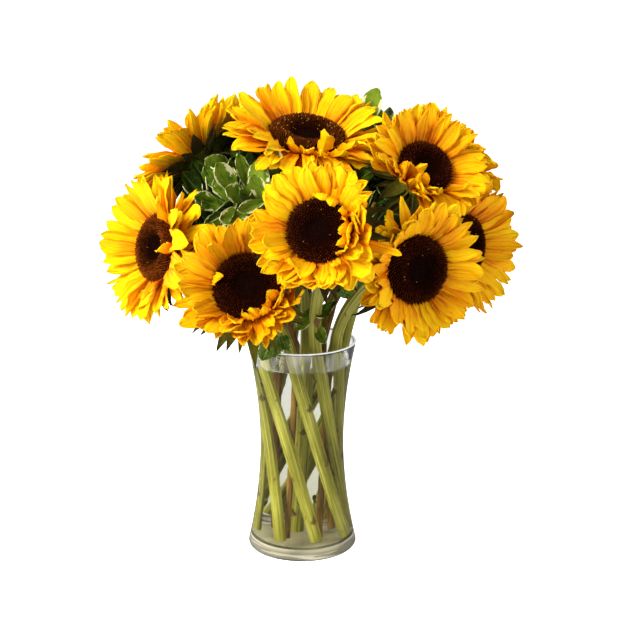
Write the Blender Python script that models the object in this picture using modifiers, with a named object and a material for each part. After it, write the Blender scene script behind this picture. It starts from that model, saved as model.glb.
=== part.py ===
"""Ten cut sunflowers and four sprigs of variegated pittosporum, standing in water in a waisted clear glass vase.

Metres, +Z up. The origin is the middle of the vase's foot, and -Y is the front.
A bearing is an angle round the vase's axis in degrees: 0 is the front and 90 is the right, +X.
"""

import math
import random
from typing import NamedTuple

import bmesh
import bpy
from mathutils import Matrix, Vector

MM = 0.001
GOLDEN_ANGLE = math.radians(137.508)
GAP = 0.35 * MM  # between pieces that touch

# Vase: a turned glass with a waist, a thick floor and a rounded heel.
VASE_HEIGHT = 205 * MM
WAIST_HEIGHT = 105 * MM
WAIST_RADIUS = 39.8 * MM
RIM_FLARE = 12.0 * MM  # how much wider the rim is than the waist
FOOT_FLARE = 13.2 * MM
FLARE_POWER = 1.9
WALL = 3.4 * MM
FLOOR = 10.5 * MM
HEEL = 4.5 * MM
WATER_LEVEL = 185 * MM
TURN_STEPS = 28

# Bloom: disc, corolla ring and receptacle sit on one axis, with the disc's base at 0.
RING_WIDTH = 2.6 * MM
PETAL_THICKNESS = 1.3 * MM
PETAL_WIDTH = 17.5 * MM
PETAL_CUTS = (0.34, 0.74)
PETALS = 22
RING_STEPS = 14
SEPAL_LENGTH = 31 * MM
SEPAL_WIDTH = 12.5 * MM
SEPAL_CUTS = (0.4,)
SEPALS = 9
RECEPTACLE_DEPTH = 13 * MM
STEM_RADIUS = 5.0 * MM
STEM_BENDS = 5

# Sprig
TWIG_RADIUS = 2.1 * MM
LEAF_THICKNESS = 1.3 * MM
LEAF_CUTS = (0.42, 0.84)
TEETH = 8
TOOTHED_CUTS = tuple((i + 1) / TEETH for i in range(TEETH - 1))


class Layer(NamedTuple):
    """One whorl of petals: where it roots on the ring and how it opens."""

    root_height: float
    lift: float  # degrees forward of the disc's plane at the root
    curl: float  # degrees added from root to tip
    length: float  # share of the bloom's petal length


LAYERS = (
    Layer(root_height=1.0 * MM, lift=48, curl=-20, length=0.9),
    Layer(root_height=0.1 * MM, lift=34, curl=-14, length=0.96),
    Layer(root_height=-1.0 * MM, lift=20, curl=-6, length=1.0),
)


class Bloom(NamedTuple):
    """A sunflower: where its disc is, which way it looks, and the line of its stem."""

    name: str
    head: tuple  # middle of the disc's base, x, y, z in millimetres
    bearing: float  # that the face looks along
    rise: float  # of the face above the horizon
    disc: float  # radius in millimetres
    petal: float  # length in millimetres
    rim: tuple  # bearing and radius in millimetres where the stem passes the vase's rim
    foot: tuple  # bearing, radius and height in millimetres of the stem's cut end
    seed: int
    pressed: tuple = ()  # (clock angle from the top, half span, extra lift) in degrees
    leaves: tuple = ()  # (index of the stem's point, bearing, rise, length in millimetres)


BLOOMS = (
    Bloom("centre", (17, -152, 341), -12, 22, 26.5, 37, (20, 40), (104, 39, 14), 11,
          pressed=((85, 50, 30),)),
    Bloom("low_left", (-46, -104, 281), -4, 30, 29, 39, (345, 40), (68, 40, 13), 12,
          pressed=((115, 40, 30),), leaves=((2, -38, -35, 42),)),
    Bloom("left", (-129, -26, 299), -53, 13, 30, 44, (292, 40), (20, 38, 16), 13,
          pressed=((85, 50, 40),)),
    Bloom("top", (5, 7, 395), 20, 69, 34.5, 46, (30, 9), (210, 9, 12), 24,
          pressed=((180, 60, 18),)),
    Bloom("right_high", (110, -37, 373), 23, 35, 24.5, 40, (86, 40), (168, 40, 15), 15,
          pressed=((235, 50, 40), (160, 55, 8))),
    Bloom("right_low", (100, -103, 297), 29, 4, 29, 39, (53, 40), (136, 39, 13), 16,
          pressed=((310, 50, 40),), leaves=((3, 10, 55, 46),)),
    Bloom("right", (152, 25, 290), 50, 7, 28, 44, (119, 40), (200, 39, 17), 17),
    Bloom("left_back", (-95, 43, 367), 232, 38, 27, 45, (240, 40), (330, 38, 15), 18),
    Bloom("right_back", (141, 88, 364), 119, 37, 25, 37, (151, 40), (234, 39, 14), 19),
    Bloom("back", (10, 128, 322), 172, 25, 27, 43, (192, 40), (280, 39, 16), 20,
          leaves=((2, 230, -10, 48),)),
)


class Sprig(NamedTuple):
    """A twig in the water with leafy shoots at its top."""

    name: str
    foot: tuple  # bearing, radius, height
    rim: tuple  # bearing, radius
    fork: tuple  # x, y, z where the shoots part
    tips: tuple  # x, y, z of each shoot's end
    leaves: int  # on each shoot
    leaf: float  # length
    seed: int


SPRIGS = (
    Sprig("sprig_left", (325, 21, 13), (350, 22), (-32, -34, 285),
          ((-62, -44, 344), (-32, -62, 350), (-80, -18, 334)), 5, 34, 31),
    Sprig("sprig_right", (40, 21, 13), (75, 22), (40, -28, 285),
          ((46, -76, 322), (58, -58, 322)), 6, 32, 32),
    Sprig("sprig_top", (110, 21, 13), (150, 22), (30, 34, 330),
          ((70, 72, 388), (-30, 64, 370)), 6, 34, 33),
    Sprig("sprig_back", (240, 21, 13), (220, 22), (-30, 60, 280),
          ((-60, 104, 325), (62, 90, 318)), 6, 34, 34),
)

GLASS = ("glass", (0.85, 0.9, 0.88), 0.04)
WATER = ("water", (0.8, 0.87, 0.82), 0.02)
PETAL = ("petal_yellow", (0.93, 0.58, 0.02), 0.6)
DISC = ("disc_brown", (0.05, 0.018, 0.012), 0.85)
STEM = ("stem_green", (0.3, 0.38, 0.1), 0.6)
LEAF = ("leaf_green", (0.09, 0.2, 0.04), 0.45)


# Scene and objects


def clear_scene():
    for obj in list(bpy.data.objects):
        bpy.data.objects.remove(obj)


def make_collection(name):
    found = bpy.data.collections.new(name)
    bpy.context.scene.collection.children.link(found)
    return found


def finish_material(finish):
    name, colour, roughness = finish
    material = bpy.data.materials.get(name) or bpy.data.materials.new(name)
    material.use_nodes = True
    shader = material.node_tree.nodes["Principled BSDF"]
    shader.inputs["Base Color"].default_value = (*colour, 1)
    shader.inputs["Roughness"].default_value = roughness
    shader.inputs["Metallic"].default_value = 0
    return material


def add_object(name, data, collection, finish=None):
    obj = bpy.data.objects.new(name, data)
    collection.objects.link(obj)
    if finish:
        data.materials.append(finish_material(finish))
    return obj


def mesh_of(shape, name):
    """A mesh from a bmesh, which is freed."""
    bmesh.ops.triangulate(shape, faces=shape.faces)
    if shape.calc_volume(signed=True) < 0:
        bmesh.ops.reverse_faces(shape, faces=shape.faces)
    mesh = bpy.data.meshes.new(name)
    shape.to_mesh(mesh)
    shape.free()
    return mesh


def settled(obj, collection, weld=0.01 * MM):
    """obj with its modifiers applied and its place in its mesh, as a new object; obj is removed."""
    bpy.context.view_layer.update()
    graph = bpy.context.evaluated_depsgraph_get()
    mesh = bpy.data.meshes.new_from_object(obj.evaluated_get(graph))
    mesh.transform(obj.matrix_world)
    name = obj.name
    bpy.data.objects.remove(obj)
    shape = bmesh.new()
    shape.from_mesh(mesh)
    bmesh.ops.remove_doubles(shape, verts=shape.verts, dist=weld)
    bmesh.ops.triangulate(shape, faces=shape.faces)
    shape.to_mesh(mesh)
    shape.free()
    return add_object(name, mesh, collection)


def joined(body, repeats, collection, operation="UNION"):
    """body with every object of the collection repeats joined to it, or cut from it, in one Boolean."""
    modifier = body.modifiers.new("join", "BOOLEAN")
    modifier.operand_type = "COLLECTION"
    modifier.collection = repeats
    modifier.operation = operation
    modifier.solver = "EXACT"
    done = settled(body, collection, 0.0001 * MM)
    for obj in list(repeats.objects):
        bpy.data.objects.remove(obj)
    bpy.data.collections.remove(repeats)
    return done


def finished(obj, name, finish):
    obj.name = name
    obj.data.materials.clear()
    obj.data.materials.append(finish_material(finish))
    obj.data.shade_smooth()
    obj.data.set_sharp_from_angle(angle=math.radians(40))
    return obj


# Places


def around(bearing, radius, height=0.0):
    """The point at a bearing and a radius round the vase's axis, from millimetres."""
    turn = math.radians(bearing)
    return Vector((radius * math.sin(turn), -radius * math.cos(turn), height)) * MM


def facing(bearing, rise):
    up = math.radians(rise)
    turn = math.radians(bearing)
    return Vector(
        (math.sin(turn) * math.cos(up), -math.cos(turn) * math.cos(up), math.sin(up))
    )


def frame_at(place, axis):
    """The matrix of a frame whose Z is axis and whose Y leans to the top."""
    turned = axis.to_track_quat("Z", "Y").to_matrix().to_4x4()
    return Matrix.Translation(place) @ turned


def leaf_frame(place, way):
    """A frame whose Y runs along way and whose Z leans to the top."""
    across = way.cross(Vector((0, 0, 1))).normalized()
    turned = Matrix((across, way, across.cross(way))).transposed().to_4x4()
    return Matrix.Translation(place) @ turned


def arc_point(length, start, bend, share):
    """Along and across distance of a point on an arc that starts at an angle and bends, in radians."""
    if abs(bend) < 1e-6:
        return length * share * math.cos(start), length * share * math.sin(start)
    end = start + bend * share
    radius = length / bend
    return radius * (math.sin(end) - math.sin(start)), radius * (
        math.cos(start) - math.cos(end)
    )


# Blades: petals, sepals and leaves


class Blade(NamedTuple):
    """A thin tapering blade with a keel under it, which roots at a point and arches over its plane."""

    length: float
    width: float
    outline: object  # half width as a share of width, at a share of the length
    lift: float  # radians
    curl: float
    twist: float
    sway: float


def petal_outline(share):
    """Narrow at the root, widest at the middle, with a pointed tip."""
    return 0.6 * (1 - share) ** 0.62 * (0.3 + 2.05 * share)


def sepal_outline(share):
    return 0.5 * (1 - share) ** 1.25 * (0.9 + 1.6 * share)


def leaf_outline(share):
    """A spoon shape: a narrow root and a broad rounded end."""
    return 0.53 * (1 - share**4) ** 0.8 * (0.16 + 1.0 * math.sin(0.5 * math.pi * share))


def toothed_outline(share):
    """A heart-shaped sunflower leaf on a short stalk, with teeth."""
    tooth = 0.1 * math.cos(TEETH * math.pi * share)
    return (0.06 + 0.62 * math.sin(math.pi * min(1, share) ** 0.75) ** 0.8) * (1 + tooth)


def blade_blank(cuts):
    """A three-sided spike of height 1 with rings at the cuts, as a bmesh."""
    shape = bmesh.new()
    bmesh.ops.create_cone(
        shape, cap_ends=True, segments=3, radius1=1, radius2=0, depth=1,
        matrix=Matrix.Translation((0, 0, 0.5)),
    )
    for cut in cuts:
        parts = shape.verts[:] + shape.edges[:] + shape.faces[:]
        bmesh.ops.bisect_plane(shape, geom=parts, plane_co=(0, 0, cut), plane_no=(0, 0, 1))
    return shape


def blade_point(blade, share, side, depth):
    """The place on a blade, whose root is at 0: Y runs out from it, Z is its front. side is -1, 0 or 1."""
    out, up = arc_point(blade.length, blade.lift, blade.curl, share)
    angle = blade.lift + blade.curl * share
    front = Vector((0, -math.sin(angle), math.cos(angle)))
    roll = blade.twist * share
    across = Vector((math.cos(roll), 0, 0)) + math.sin(roll) * front
    normal = math.cos(roll) * front - Vector((math.sin(roll), 0, 0))
    middle = Vector((blade.sway * share * share, out, up))
    half = blade.width * blade.outline(share)
    return middle + across * half * side - normal * depth


def blade_mesh(blade, thickness, cuts):
    """A blade's two edges and its keel are the three corners of the blank's rings."""
    shape = blade_blank(cuts)
    for vert in shape.verts:
        share = min(1.0, max(0.0, vert.co.z))
        side = round(vert.co.x / (1.001 - share))
        on_keel = side == 0 and share < 1
        vert.co = blade_point(blade, share, side, thickness * on_keel)
    return mesh_of(shape, "blade")


# Sunflower


def extra_lift(bloom, clock):
    """Degrees that a neighbour presses the petals forward at a clock angle."""
    for middle, half_span, lift in bloom.pressed:
        apart = abs((clock - middle + 180) % 360 - 180)
        if apart < half_span:
            return lift * math.cos(0.5 * math.pi * apart / half_span)
    return 0.0


def petal_rule(bloom):
    """Yields each petal's clock angle in radians, layer and blade; the draws are seeded by the bloom."""
    draw = random.Random(bloom.seed)
    for i in range(PETALS):
        layer = LAYERS[i % len(LAYERS)]
        clock = 2 * math.pi * (i + draw.uniform(-0.3, 0.3)) / PETALS
        extra = extra_lift(bloom, math.degrees(clock))
        yield clock, layer, Blade(
            length=bloom.petal * MM * layer.length * draw.uniform(0.92, 1.06),
            width=PETAL_WIDTH * draw.uniform(0.88, 1.08),
            outline=petal_outline,
            lift=math.radians(layer.lift + draw.uniform(-5, 5) + extra),
            curl=math.radians(layer.curl + draw.uniform(-16, 16) + 0.7 * extra),
            twist=math.radians(draw.uniform(-16, 16)),
            sway=draw.uniform(-3, 3) * MM,
        )


def place_blade(blade, thickness, cuts, frame, collection):
    mesh = blade_mesh(blade, thickness, cuts)
    mesh.transform(frame)
    return add_object("blade", mesh, collection)


def clock_frame(frame, clock, radius, height):
    """A frame at the bloom's edge, with Y pointing out at a clock angle from the top."""
    return frame @ Matrix.Rotation(-clock, 4, "Z") @ Matrix.Translation((0, radius, height))


def build_corolla(bloom, frame, parts):
    """All the petals of a bloom, rooted in one thin ring round the disc."""
    petals = make_collection("petals")
    ring_radius = bloom.disc * MM + RING_WIDTH + GAP
    for clock, layer, blade in petal_rule(bloom):
        root = clock_frame(frame, clock, ring_radius - 0.3 * RING_WIDTH, layer.root_height)
        place_blade(blade, PETAL_THICKNESS, PETAL_CUTS, root, petals)
    inner, outer = ring_radius - RING_WIDTH, ring_radius + RING_WIDTH
    top, base = 0.8 * RING_WIDTH, -RING_WIDTH
    profile = ((inner, top), (outer, top), (outer, base), (inner, base), (inner, top))
    ring = turned("ring", profile, RING_STEPS, parts)
    ring.matrix_world = frame
    return finished(
        joined(settled(ring, parts), petals, parts), bloom.name + "_petals", PETAL
    )


def disc_height(share, step, ring):
    """Height of the disc's face: a swollen outer belt, a dip in the middle, and rows of florets."""
    belt = 7.5 * MM * math.exp(-(((share - 0.74) / 0.3) ** 2))
    dome = 3.5 * MM * (1 - share * share)
    floret = 0.8 * MM * (-1) ** (step + ring)
    return belt + dome + floret * min(1, 3 * share)


def build_disc(bloom, frame, parts):
    steps = RING_STEPS
    shares = (1.0, 0.8, 0.55, 0.3)
    shape = bmesh.new()
    bmesh.ops.create_cone(
        shape, cap_ends=True, segments=steps, radius1=1, radius2=0, depth=1,
        matrix=Matrix.Translation((0, 0, 0.5)) @ Matrix.Rotation(-math.pi / 2, 4, "Z"),
    )
    for share in shares:
        parts_now = shape.verts[:] + shape.edges[:] + shape.faces[:]
        bmesh.ops.bisect_plane(
            shape, geom=parts_now, plane_co=(0, 0, 1.02 - share), plane_no=(0, 0, 1)
        )
    for vert in shape.verts:
        if vert.co.z < 0.01:
            vert.co = (vert.co.x * bloom.disc * MM, vert.co.y * bloom.disc * MM, 0)
            continue
        share = 1.02 - vert.co.z if vert.co.z < 0.99 else 0
        ring = min(range(len(shares)), key=lambda i: abs(shares[i] - share))
        clock = math.atan2(vert.co.y, vert.co.x) if share else 0
        step = round(clock * steps / (2 * math.pi))
        turn = clock + ring * math.pi / steps
        height = disc_height(share, step, ring)
        radius = share * bloom.disc * MM
        vert.co = (radius * math.cos(turn), radius * math.sin(turn), height)
    mesh = mesh_of(shape, "disc")
    mesh.transform(frame)
    return finished(add_object("disc", mesh, parts), bloom.name + "_disc", DISC)


def turned(name, profile, steps, collection):
    """A Screw-turned solid from (radius, height) points that run down its outer side."""
    shape = bmesh.new()
    verts = [shape.verts.new((radius, 0, height)) for radius, height in profile]
    for first, second in zip(verts, verts[1:]):
        shape.edges.new((first, second))
    mesh = bpy.data.meshes.new(name)
    shape.to_mesh(mesh)
    shape.free()
    obj = add_object(name, mesh, collection)
    screw = obj.modifiers.new("turn", "SCREW")
    screw.steps = screw.render_steps = steps
    screw.use_merge_vertices = True
    screw.merge_threshold = 0.02 * MM
    return obj


def hermite(start, start_way, end, end_way, share):
    a, b = share * share, share * share * share
    return (
        start * (2 * b - 3 * a + 1)
        + start_way * (b - 2 * a + share)
        + end * (3 * a - 2 * b)
        + end_way * (b - a)
    )


def stem_path(foot, rim, end, end_way, bends):
    """Straight through the vase from foot to rim, then one smooth sweep that arrives along end_way."""
    reach = (end - rim).length
    rise = (rim - foot).normalized() * reach
    sweep = [
        hermite(rim, rise, end, end_way * reach, i / bends) for i in range(1, bends + 1)
    ]
    return [foot, rim, *sweep]


def tube(name, points, radii, collection, resolution=2):
    """A curve with a round section, as a closed mesh."""
    curve = bpy.data.curves.new(name, "CURVE")
    curve.dimensions = "3D"
    curve.bevel_depth = 1
    curve.bevel_resolution = resolution
    curve.use_fill_caps = True
    spline = curve.splines.new("POLY")
    spline.points.add(len(points) - 1)
    for point, place, radius in zip(spline.points, points, radii):
        point.co = (*place, 1)
        point.radius = radius
    return settled(add_object(name, curve, collection), collection)


def receptacle_profile(edge):
    """The green cup under a bloom: flat on top and narrowing to the stem."""
    top = -RING_WIDTH - GAP
    return (
        (0, top), (edge, top), (edge + 1 * MM, top - 3 * MM),
        (1.3 * STEM_RADIUS, top - RECEPTACLE_DEPTH), (0, top - RECEPTACLE_DEPTH),
    )


def build_stem(bloom, frame, parts):
    """Stem, receptacle and sepals, which are one green body."""
    pieces = make_collection("green")
    edge = bloom.disc * MM + 1.5 * RING_WIDTH
    draw = random.Random(bloom.seed + 100)
    for i in range(SEPALS):
        clock = 2 * math.pi * (i + draw.uniform(-0.15, 0.15)) / SEPALS
        sepal = Blade(
            length=SEPAL_LENGTH * draw.uniform(0.85, 1.1),
            width=SEPAL_WIDTH,
            outline=sepal_outline,
            lift=math.radians(draw.uniform(-8, 2)),
            curl=math.radians(draw.uniform(-10, 14)),
            twist=math.radians(draw.uniform(-12, 12)),
            sway=draw.uniform(-2, 2) * MM,
        )
        root = clock_frame(frame, clock, edge - 3 * MM, -RING_WIDTH - 2.2 * MM)
        place_blade(sepal, PETAL_THICKNESS, SEPAL_CUTS, root, pieces)
    axis = frame.to_3x3() @ Vector((0, 0, 1))
    neck = frame @ Vector((0, 0, -RING_WIDTH - RECEPTACLE_DEPTH + 1 * MM))
    foot = around(*bloom.foot)
    rim = around(*bloom.rim, VASE_HEIGHT / MM)
    path = stem_path(foot, rim, neck, axis, STEM_BENDS)
    tube("stem", path, [STEM_RADIUS] * len(path), pieces)
    for index, bearing, rise, length in bloom.leaves:
        leaf = Blade(
            length=length * MM,
            width=0.62 * length * MM,
            outline=toothed_outline,
            lift=math.radians(12),
            curl=math.radians(-55),
            twist=math.radians(draw.uniform(-20, 20)),
            sway=draw.uniform(-4, 4) * MM,
        )
        root = leaf_frame(path[index], facing(bearing, rise))
        place_blade(leaf, LEAF_THICKNESS, TOOTHED_CUTS, root, pieces)
    cup = turned("cup", receptacle_profile(edge), 12, parts)
    cup.matrix_world = frame
    return finished(
        joined(settled(cup, parts), pieces, parts), bloom.name + "_stem", STEM
    )


def build_bloom(bloom, parts):
    frame = frame_at(Vector(bloom.head) * MM, facing(bloom.bearing, bloom.rise))
    build_corolla(bloom, frame, parts)
    build_disc(bloom, frame, parts)
    build_stem(bloom, frame, parts)


# Sprig


def build_sprig(sprig, parts):
    """One twig that forks, with leaves whorled up the end of each shoot."""
    draw = random.Random(sprig.seed)
    pieces = make_collection("leaves")
    foot = around(*sprig.foot)
    rim = around(*sprig.rim, VASE_HEIGHT / MM)
    fork = Vector(sprig.fork) * MM
    tips = [Vector(tip) * MM for tip in sprig.tips]
    paths = []
    for tip in tips:
        outward = Vector((tip.x, tip.y, 0)).normalized()
        way = ((tip - fork).normalized() + outward).normalized()
        paths.append([fork + (tip - fork) * i / 3 for i in range(4)])
        along = (tip - fork).normalized()
        for i in range(sprig.leaves):
            back = 16 * MM * i / sprig.leaves
            clock = i * GOLDEN_ANGLE + draw.uniform(-0.2, 0.2)
            leaf = Blade(
                length=sprig.leaf * MM * draw.uniform(0.8, 1.1),
                width=0.5 * sprig.leaf * MM,
                outline=leaf_outline,
                lift=math.radians(70 - 62 * i / sprig.leaves + draw.uniform(-8, 8)),
                curl=math.radians(draw.uniform(-30, -5)),
                twist=math.radians(draw.uniform(-15, 15)),
                sway=0,
            )
            frame = frame_at(tip - along * (back + 1 * MM), way)
            root = clock_frame(frame, clock, 0, 0)
            place_blade(leaf, LEAF_THICKNESS, LEAF_CUTS, root, pieces)
    trunk = [foot, rim, rim.lerp(fork, 0.5), fork]
    for path in paths[1:]:
        tube("shoot", path, [0.8 * TWIG_RADIUS] * len(path), pieces, 1)
    main = trunk + paths[0][1:]
    twig = tube("twig", main, [TWIG_RADIUS] * len(main), parts, 1)
    return finished(joined(twig, pieces, parts), sprig.name, LEAF)


# Vase and water


def outer_radius(height):
    """The vase's outside: a waist that flares to the rim and to the foot."""
    if height > WAIST_HEIGHT:
        share = (height - WAIST_HEIGHT) / (VASE_HEIGHT - WAIST_HEIGHT)
        return WAIST_RADIUS + RIM_FLARE * share**FLARE_POWER
    share = (WAIST_HEIGHT - height) / WAIST_HEIGHT
    return WAIST_RADIUS + FOOT_FLARE * share**FLARE_POWER


def arc(centre, radius, start, end, steps):
    """(radius, height) points round a profile's corner, with angles in degrees."""
    turns = [math.radians(start + (end - start) * i / steps) for i in range(steps + 1)]
    return [
        (centre[0] + radius * math.cos(turn), centre[1] + radius * math.sin(turn))
        for turn in turns
    ]


def inner_wall():
    """The inside of the vase from floor to rim, as (radius, height) points."""
    low = FLOOR + 2 * MM
    high = VASE_HEIGHT - 0.5 * WALL
    heights = [low + (high - low) * i / 5 for i in range(6)]
    return [(outer_radius(height) - WALL, height) for height in heights]


def build_vase(parts):
    wall = inner_wall()
    lip = arc((wall[-1][0] + 0.5 * WALL, wall[-1][1]), 0.5 * WALL, 180, 0, 3)
    low = HEEL
    high = VASE_HEIGHT - 0.5 * WALL
    heights = [high + (low - high) * i / 5 for i in range(1, 5)]
    outside = [(outer_radius(height), height) for height in heights]
    heel_middle = (outer_radius(low) - HEEL, HEEL)
    heel = arc(heel_middle, HEEL, 0, -90, 3)
    profile = [
        (0, FLOOR), (wall[0][0] - 2 * MM, FLOOR), *wall[:-1], *lip, *outside, *heel, (0, 0),
    ]
    vase = turned("vase", profile, TURN_STEPS, parts)
    return finished(settled(vase, parts), "vase", GLASS)


def build_water(parts):
    """The water, with a plain hole for each stem and twig."""
    wall = inner_wall()
    below = [point for point in wall if point[1] < WATER_LEVEL]
    above = wall[len(below)]
    share = (WATER_LEVEL - below[-1][1]) / (above[1] - below[-1][1])
    top = below[-1][0] + share * (above[0] - below[-1][0])
    profile = [
        (0, WATER_LEVEL), (top - GAP, WATER_LEVEL),
        *[(radius - GAP, height) for radius, height in reversed(below)],
        (wall[0][0] - 2 * MM - GAP, FLOOR + GAP), (0, FLOOR + GAP),
    ]
    cutters = make_collection("cutters")
    for plant, radius in [(b, STEM_RADIUS) for b in BLOOMS] + [
        (s, TWIG_RADIUS) for s in SPRIGS
    ]:
        foot = around(*plant.foot)
        rim = around(*plant.rim, VASE_HEIGHT / MM)
        start = foot + (foot - rim).normalized() * GAP
        tube("hole", [start, rim], [radius + 2 * GAP] * 2, cutters)
    water = settled(turned("water", profile, TURN_STEPS, parts), parts)
    return finished(joined(water, cutters, parts, "DIFFERENCE"), "water", WATER)


def main():
    clear_scene()
    parts = make_collection("sunflowers_in_vase")
    build_vase(parts)
    build_water(parts)
    for bloom in BLOOMS:
        build_bloom(bloom, parts)
    for sprig in SPRIGS:
        build_sprig(sprig, parts)


main()
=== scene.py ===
"""Finer pieces and finishes for ten cut sunflowers and four sprigs of pittosporum in a waisted glass vase.

Metres, +Z up. The origin is the middle of the vase's foot, and -Y is the front.
A bearing is an angle round the vase's axis in degrees: 0 is the front and 90 is the right, +X.
A bloom's frame has its Z along the way the bloom looks, its Y to the top and its origin in the disc's base.
A clock angle runs clockwise round a bloom from its top, in degrees, as seen from in front of it.
"""

import math
import random
from typing import NamedTuple

import bmesh
import bpy
import numpy as np
from mathutils import Matrix, Vector

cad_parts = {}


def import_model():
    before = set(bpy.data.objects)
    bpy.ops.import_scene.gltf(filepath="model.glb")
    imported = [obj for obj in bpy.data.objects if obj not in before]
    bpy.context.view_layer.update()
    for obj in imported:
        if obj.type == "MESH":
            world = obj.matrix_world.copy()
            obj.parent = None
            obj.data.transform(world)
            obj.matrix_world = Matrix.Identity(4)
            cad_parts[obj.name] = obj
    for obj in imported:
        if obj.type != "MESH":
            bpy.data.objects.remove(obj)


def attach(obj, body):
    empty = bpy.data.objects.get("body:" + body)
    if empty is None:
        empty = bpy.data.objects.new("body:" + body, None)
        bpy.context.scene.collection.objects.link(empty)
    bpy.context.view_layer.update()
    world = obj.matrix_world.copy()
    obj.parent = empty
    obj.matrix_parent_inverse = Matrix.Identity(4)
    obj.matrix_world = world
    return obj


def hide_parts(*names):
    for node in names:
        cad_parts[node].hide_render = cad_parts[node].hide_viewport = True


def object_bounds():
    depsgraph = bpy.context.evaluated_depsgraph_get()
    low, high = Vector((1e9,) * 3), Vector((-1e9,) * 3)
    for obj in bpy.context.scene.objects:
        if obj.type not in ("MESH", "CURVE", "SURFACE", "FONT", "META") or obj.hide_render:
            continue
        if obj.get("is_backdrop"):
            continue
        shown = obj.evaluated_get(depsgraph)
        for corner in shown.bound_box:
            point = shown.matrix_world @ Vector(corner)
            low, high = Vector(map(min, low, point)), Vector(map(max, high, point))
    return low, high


MM = 0.001
GOLDEN_ANGLE = 137.508  # degrees
TURN = 2 * math.pi
ASIDE = 1.0  # how far a finished row of a blade stands off while the others are drawn
TIP_STEPS = (0.7, 0.82, 0.93)  # shares of a blade's length from where its tip steps aside

# Vase and water
VASE_HEIGHT = 205 * MM
WAIST_HEIGHT = 105 * MM
WAIST_RADIUS = 39.8 * MM
RIM_FLARE = 12.0 * MM  # how much wider the rim is than the waist
FOOT_FLARE = 13.2 * MM
FLARE_POWER = 1.9
WALL = 3.4 * MM
LIP = 2.0 * MM
FLOOR = 10.5 * MM
FLOOR_FILLET = 2 * MM
HEEL = 4.5 * MM
WATER_LEVEL = 185 * MM
WATER_IN_GLASS = 0.3 * MM  # how far the water reaches into the glass, so that no air shows between them
LATHE_STEPS = 96
GLASS_IOR = 1.5
WATER_IOR = 1.333
# Painted shade: the colour of dark lines in thick corners of the glass
SHADED_GLASS = (0.09, 0.095, 0.09)
# Painted highlight: the colour of pale streaks in the glass of the foot
GLASS_HIGHLIGHT_STREAK = (0.75, 0.75, 0.72)
GLASS_TINT_AND_SHADE = (  # (share of the vase's height, colour): a slight tint up the wall, painted shade darkest in the foot
    (0, (0.05, 0.05, 0.04)), (0.03, (0.13, 0.127, 0.103)), (0.042, (0.17, 0.165, 0.135)),
    (0.048, (0.42, 0.41, 0.35)), (0.054, (0.42, 0.41, 0.35)), (0.0585, (0.93, 0.935, 0.89)),
    (1, (0.965, 0.975, 0.965)),
)

# Bloom
RING_WIDTH = 2.6 * MM
CUP_GAP = 0.35 * MM  # between the ring of petals and the green cup
RECEPTACLE_DEPTH = 13 * MM
PETALS = 22
FILLER_PETALS = 54
PETAL_INSET = 0.6 * MM  # how far the petals root inside the disc's edge
FILLER_SINK = 0.6 * MM  # how far the filling petals root under the others
DRAWN_IN = 0.86  # a withering petal's width beside that of its flat outline
FOLDS = (0, 0, 0, 0, 30, 60, -40)  # degrees; most petals lie open
SEPALS = 9
WHORLS = ((0.95, 12), (0.7, 11), (0.45, 9))  # of bracts: (place from the stem, 0, to the edge, 1; number)
FLORETS = 900  # on a disc of 29 mm radius
FLORET_SINK = 0.9 * MM  # how deep a floret roots in the dome
FLORET_LOW = 1.6 * MM  # height in the tight middle
FLORET_GROWS = 1.4 * MM  # how much taller it is in the outer belt
TIGHT_MIDDLE = 0.35  # share of the radius

# Stem
STEM_RADIUS = 5.9 * MM
STEM_RIBS = 8
RIB_DEPTH = 0.08  # beside the stem's radius
STRAIGHT_STEPS = 40  # from the cut end to the vase's rim
SWEEP_STEPS = 14  # from the rim to the bloom
LEAF_JOINTS = 5  # in the sweep, where a leaf may grow
SCARS = 4
SLIM, SWOLLEN = 0.98, 1.05  # the stem's radius between its scars and at them, beside STEM_RADIUS

# Sprig
TWIG_RADIUS = 2.1 * MM
THICK, KNOTTED, THIN = 1.25, 1.4, 0.8  # radius of the main twig, its knots and the shoots, beside that
EXTRA_LEAVES = 20  # further down each shoot than those of the rule

# Blades as modelled, in millimetres; each copy has its own size
PETAL_LENGTH = 42
PETAL_WIDTH = 17.5
SEPAL_LENGTH = 31
SEPAL_WIDTH = 12.5
LEAF_LENGTH = 42
LEAF_BREADTH = 0.62  # beside its length
SMALL_LEAF_LENGTH = 34
SMALL_LEAF_WIDTH = 17

# Studio
SOFT_WORLD = 0.4
DIM_WORLD = 0.45
LIT_FLOOR = (0.78, 0.78, 0.78)
DIM_FLOOR = (0.05, 0.05, 0.05)


class Layer(NamedTuple):
    """One whorl of petals: where it roots on the bloom's edge and how it opens."""

    root_height: float
    lift: float  # degrees forward of the disc's plane at the root
    curl: float  # degrees added from root to tip
    length: float  # share of the bloom's petal length


LAYERS = (
    Layer(root_height=1.0 * MM, lift=48, curl=-20, length=0.9),
    Layer(root_height=0.1 * MM, lift=34, curl=-14, length=0.96),
    Layer(root_height=-1.0 * MM, lift=20, curl=-6, length=1.0),
)


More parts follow.
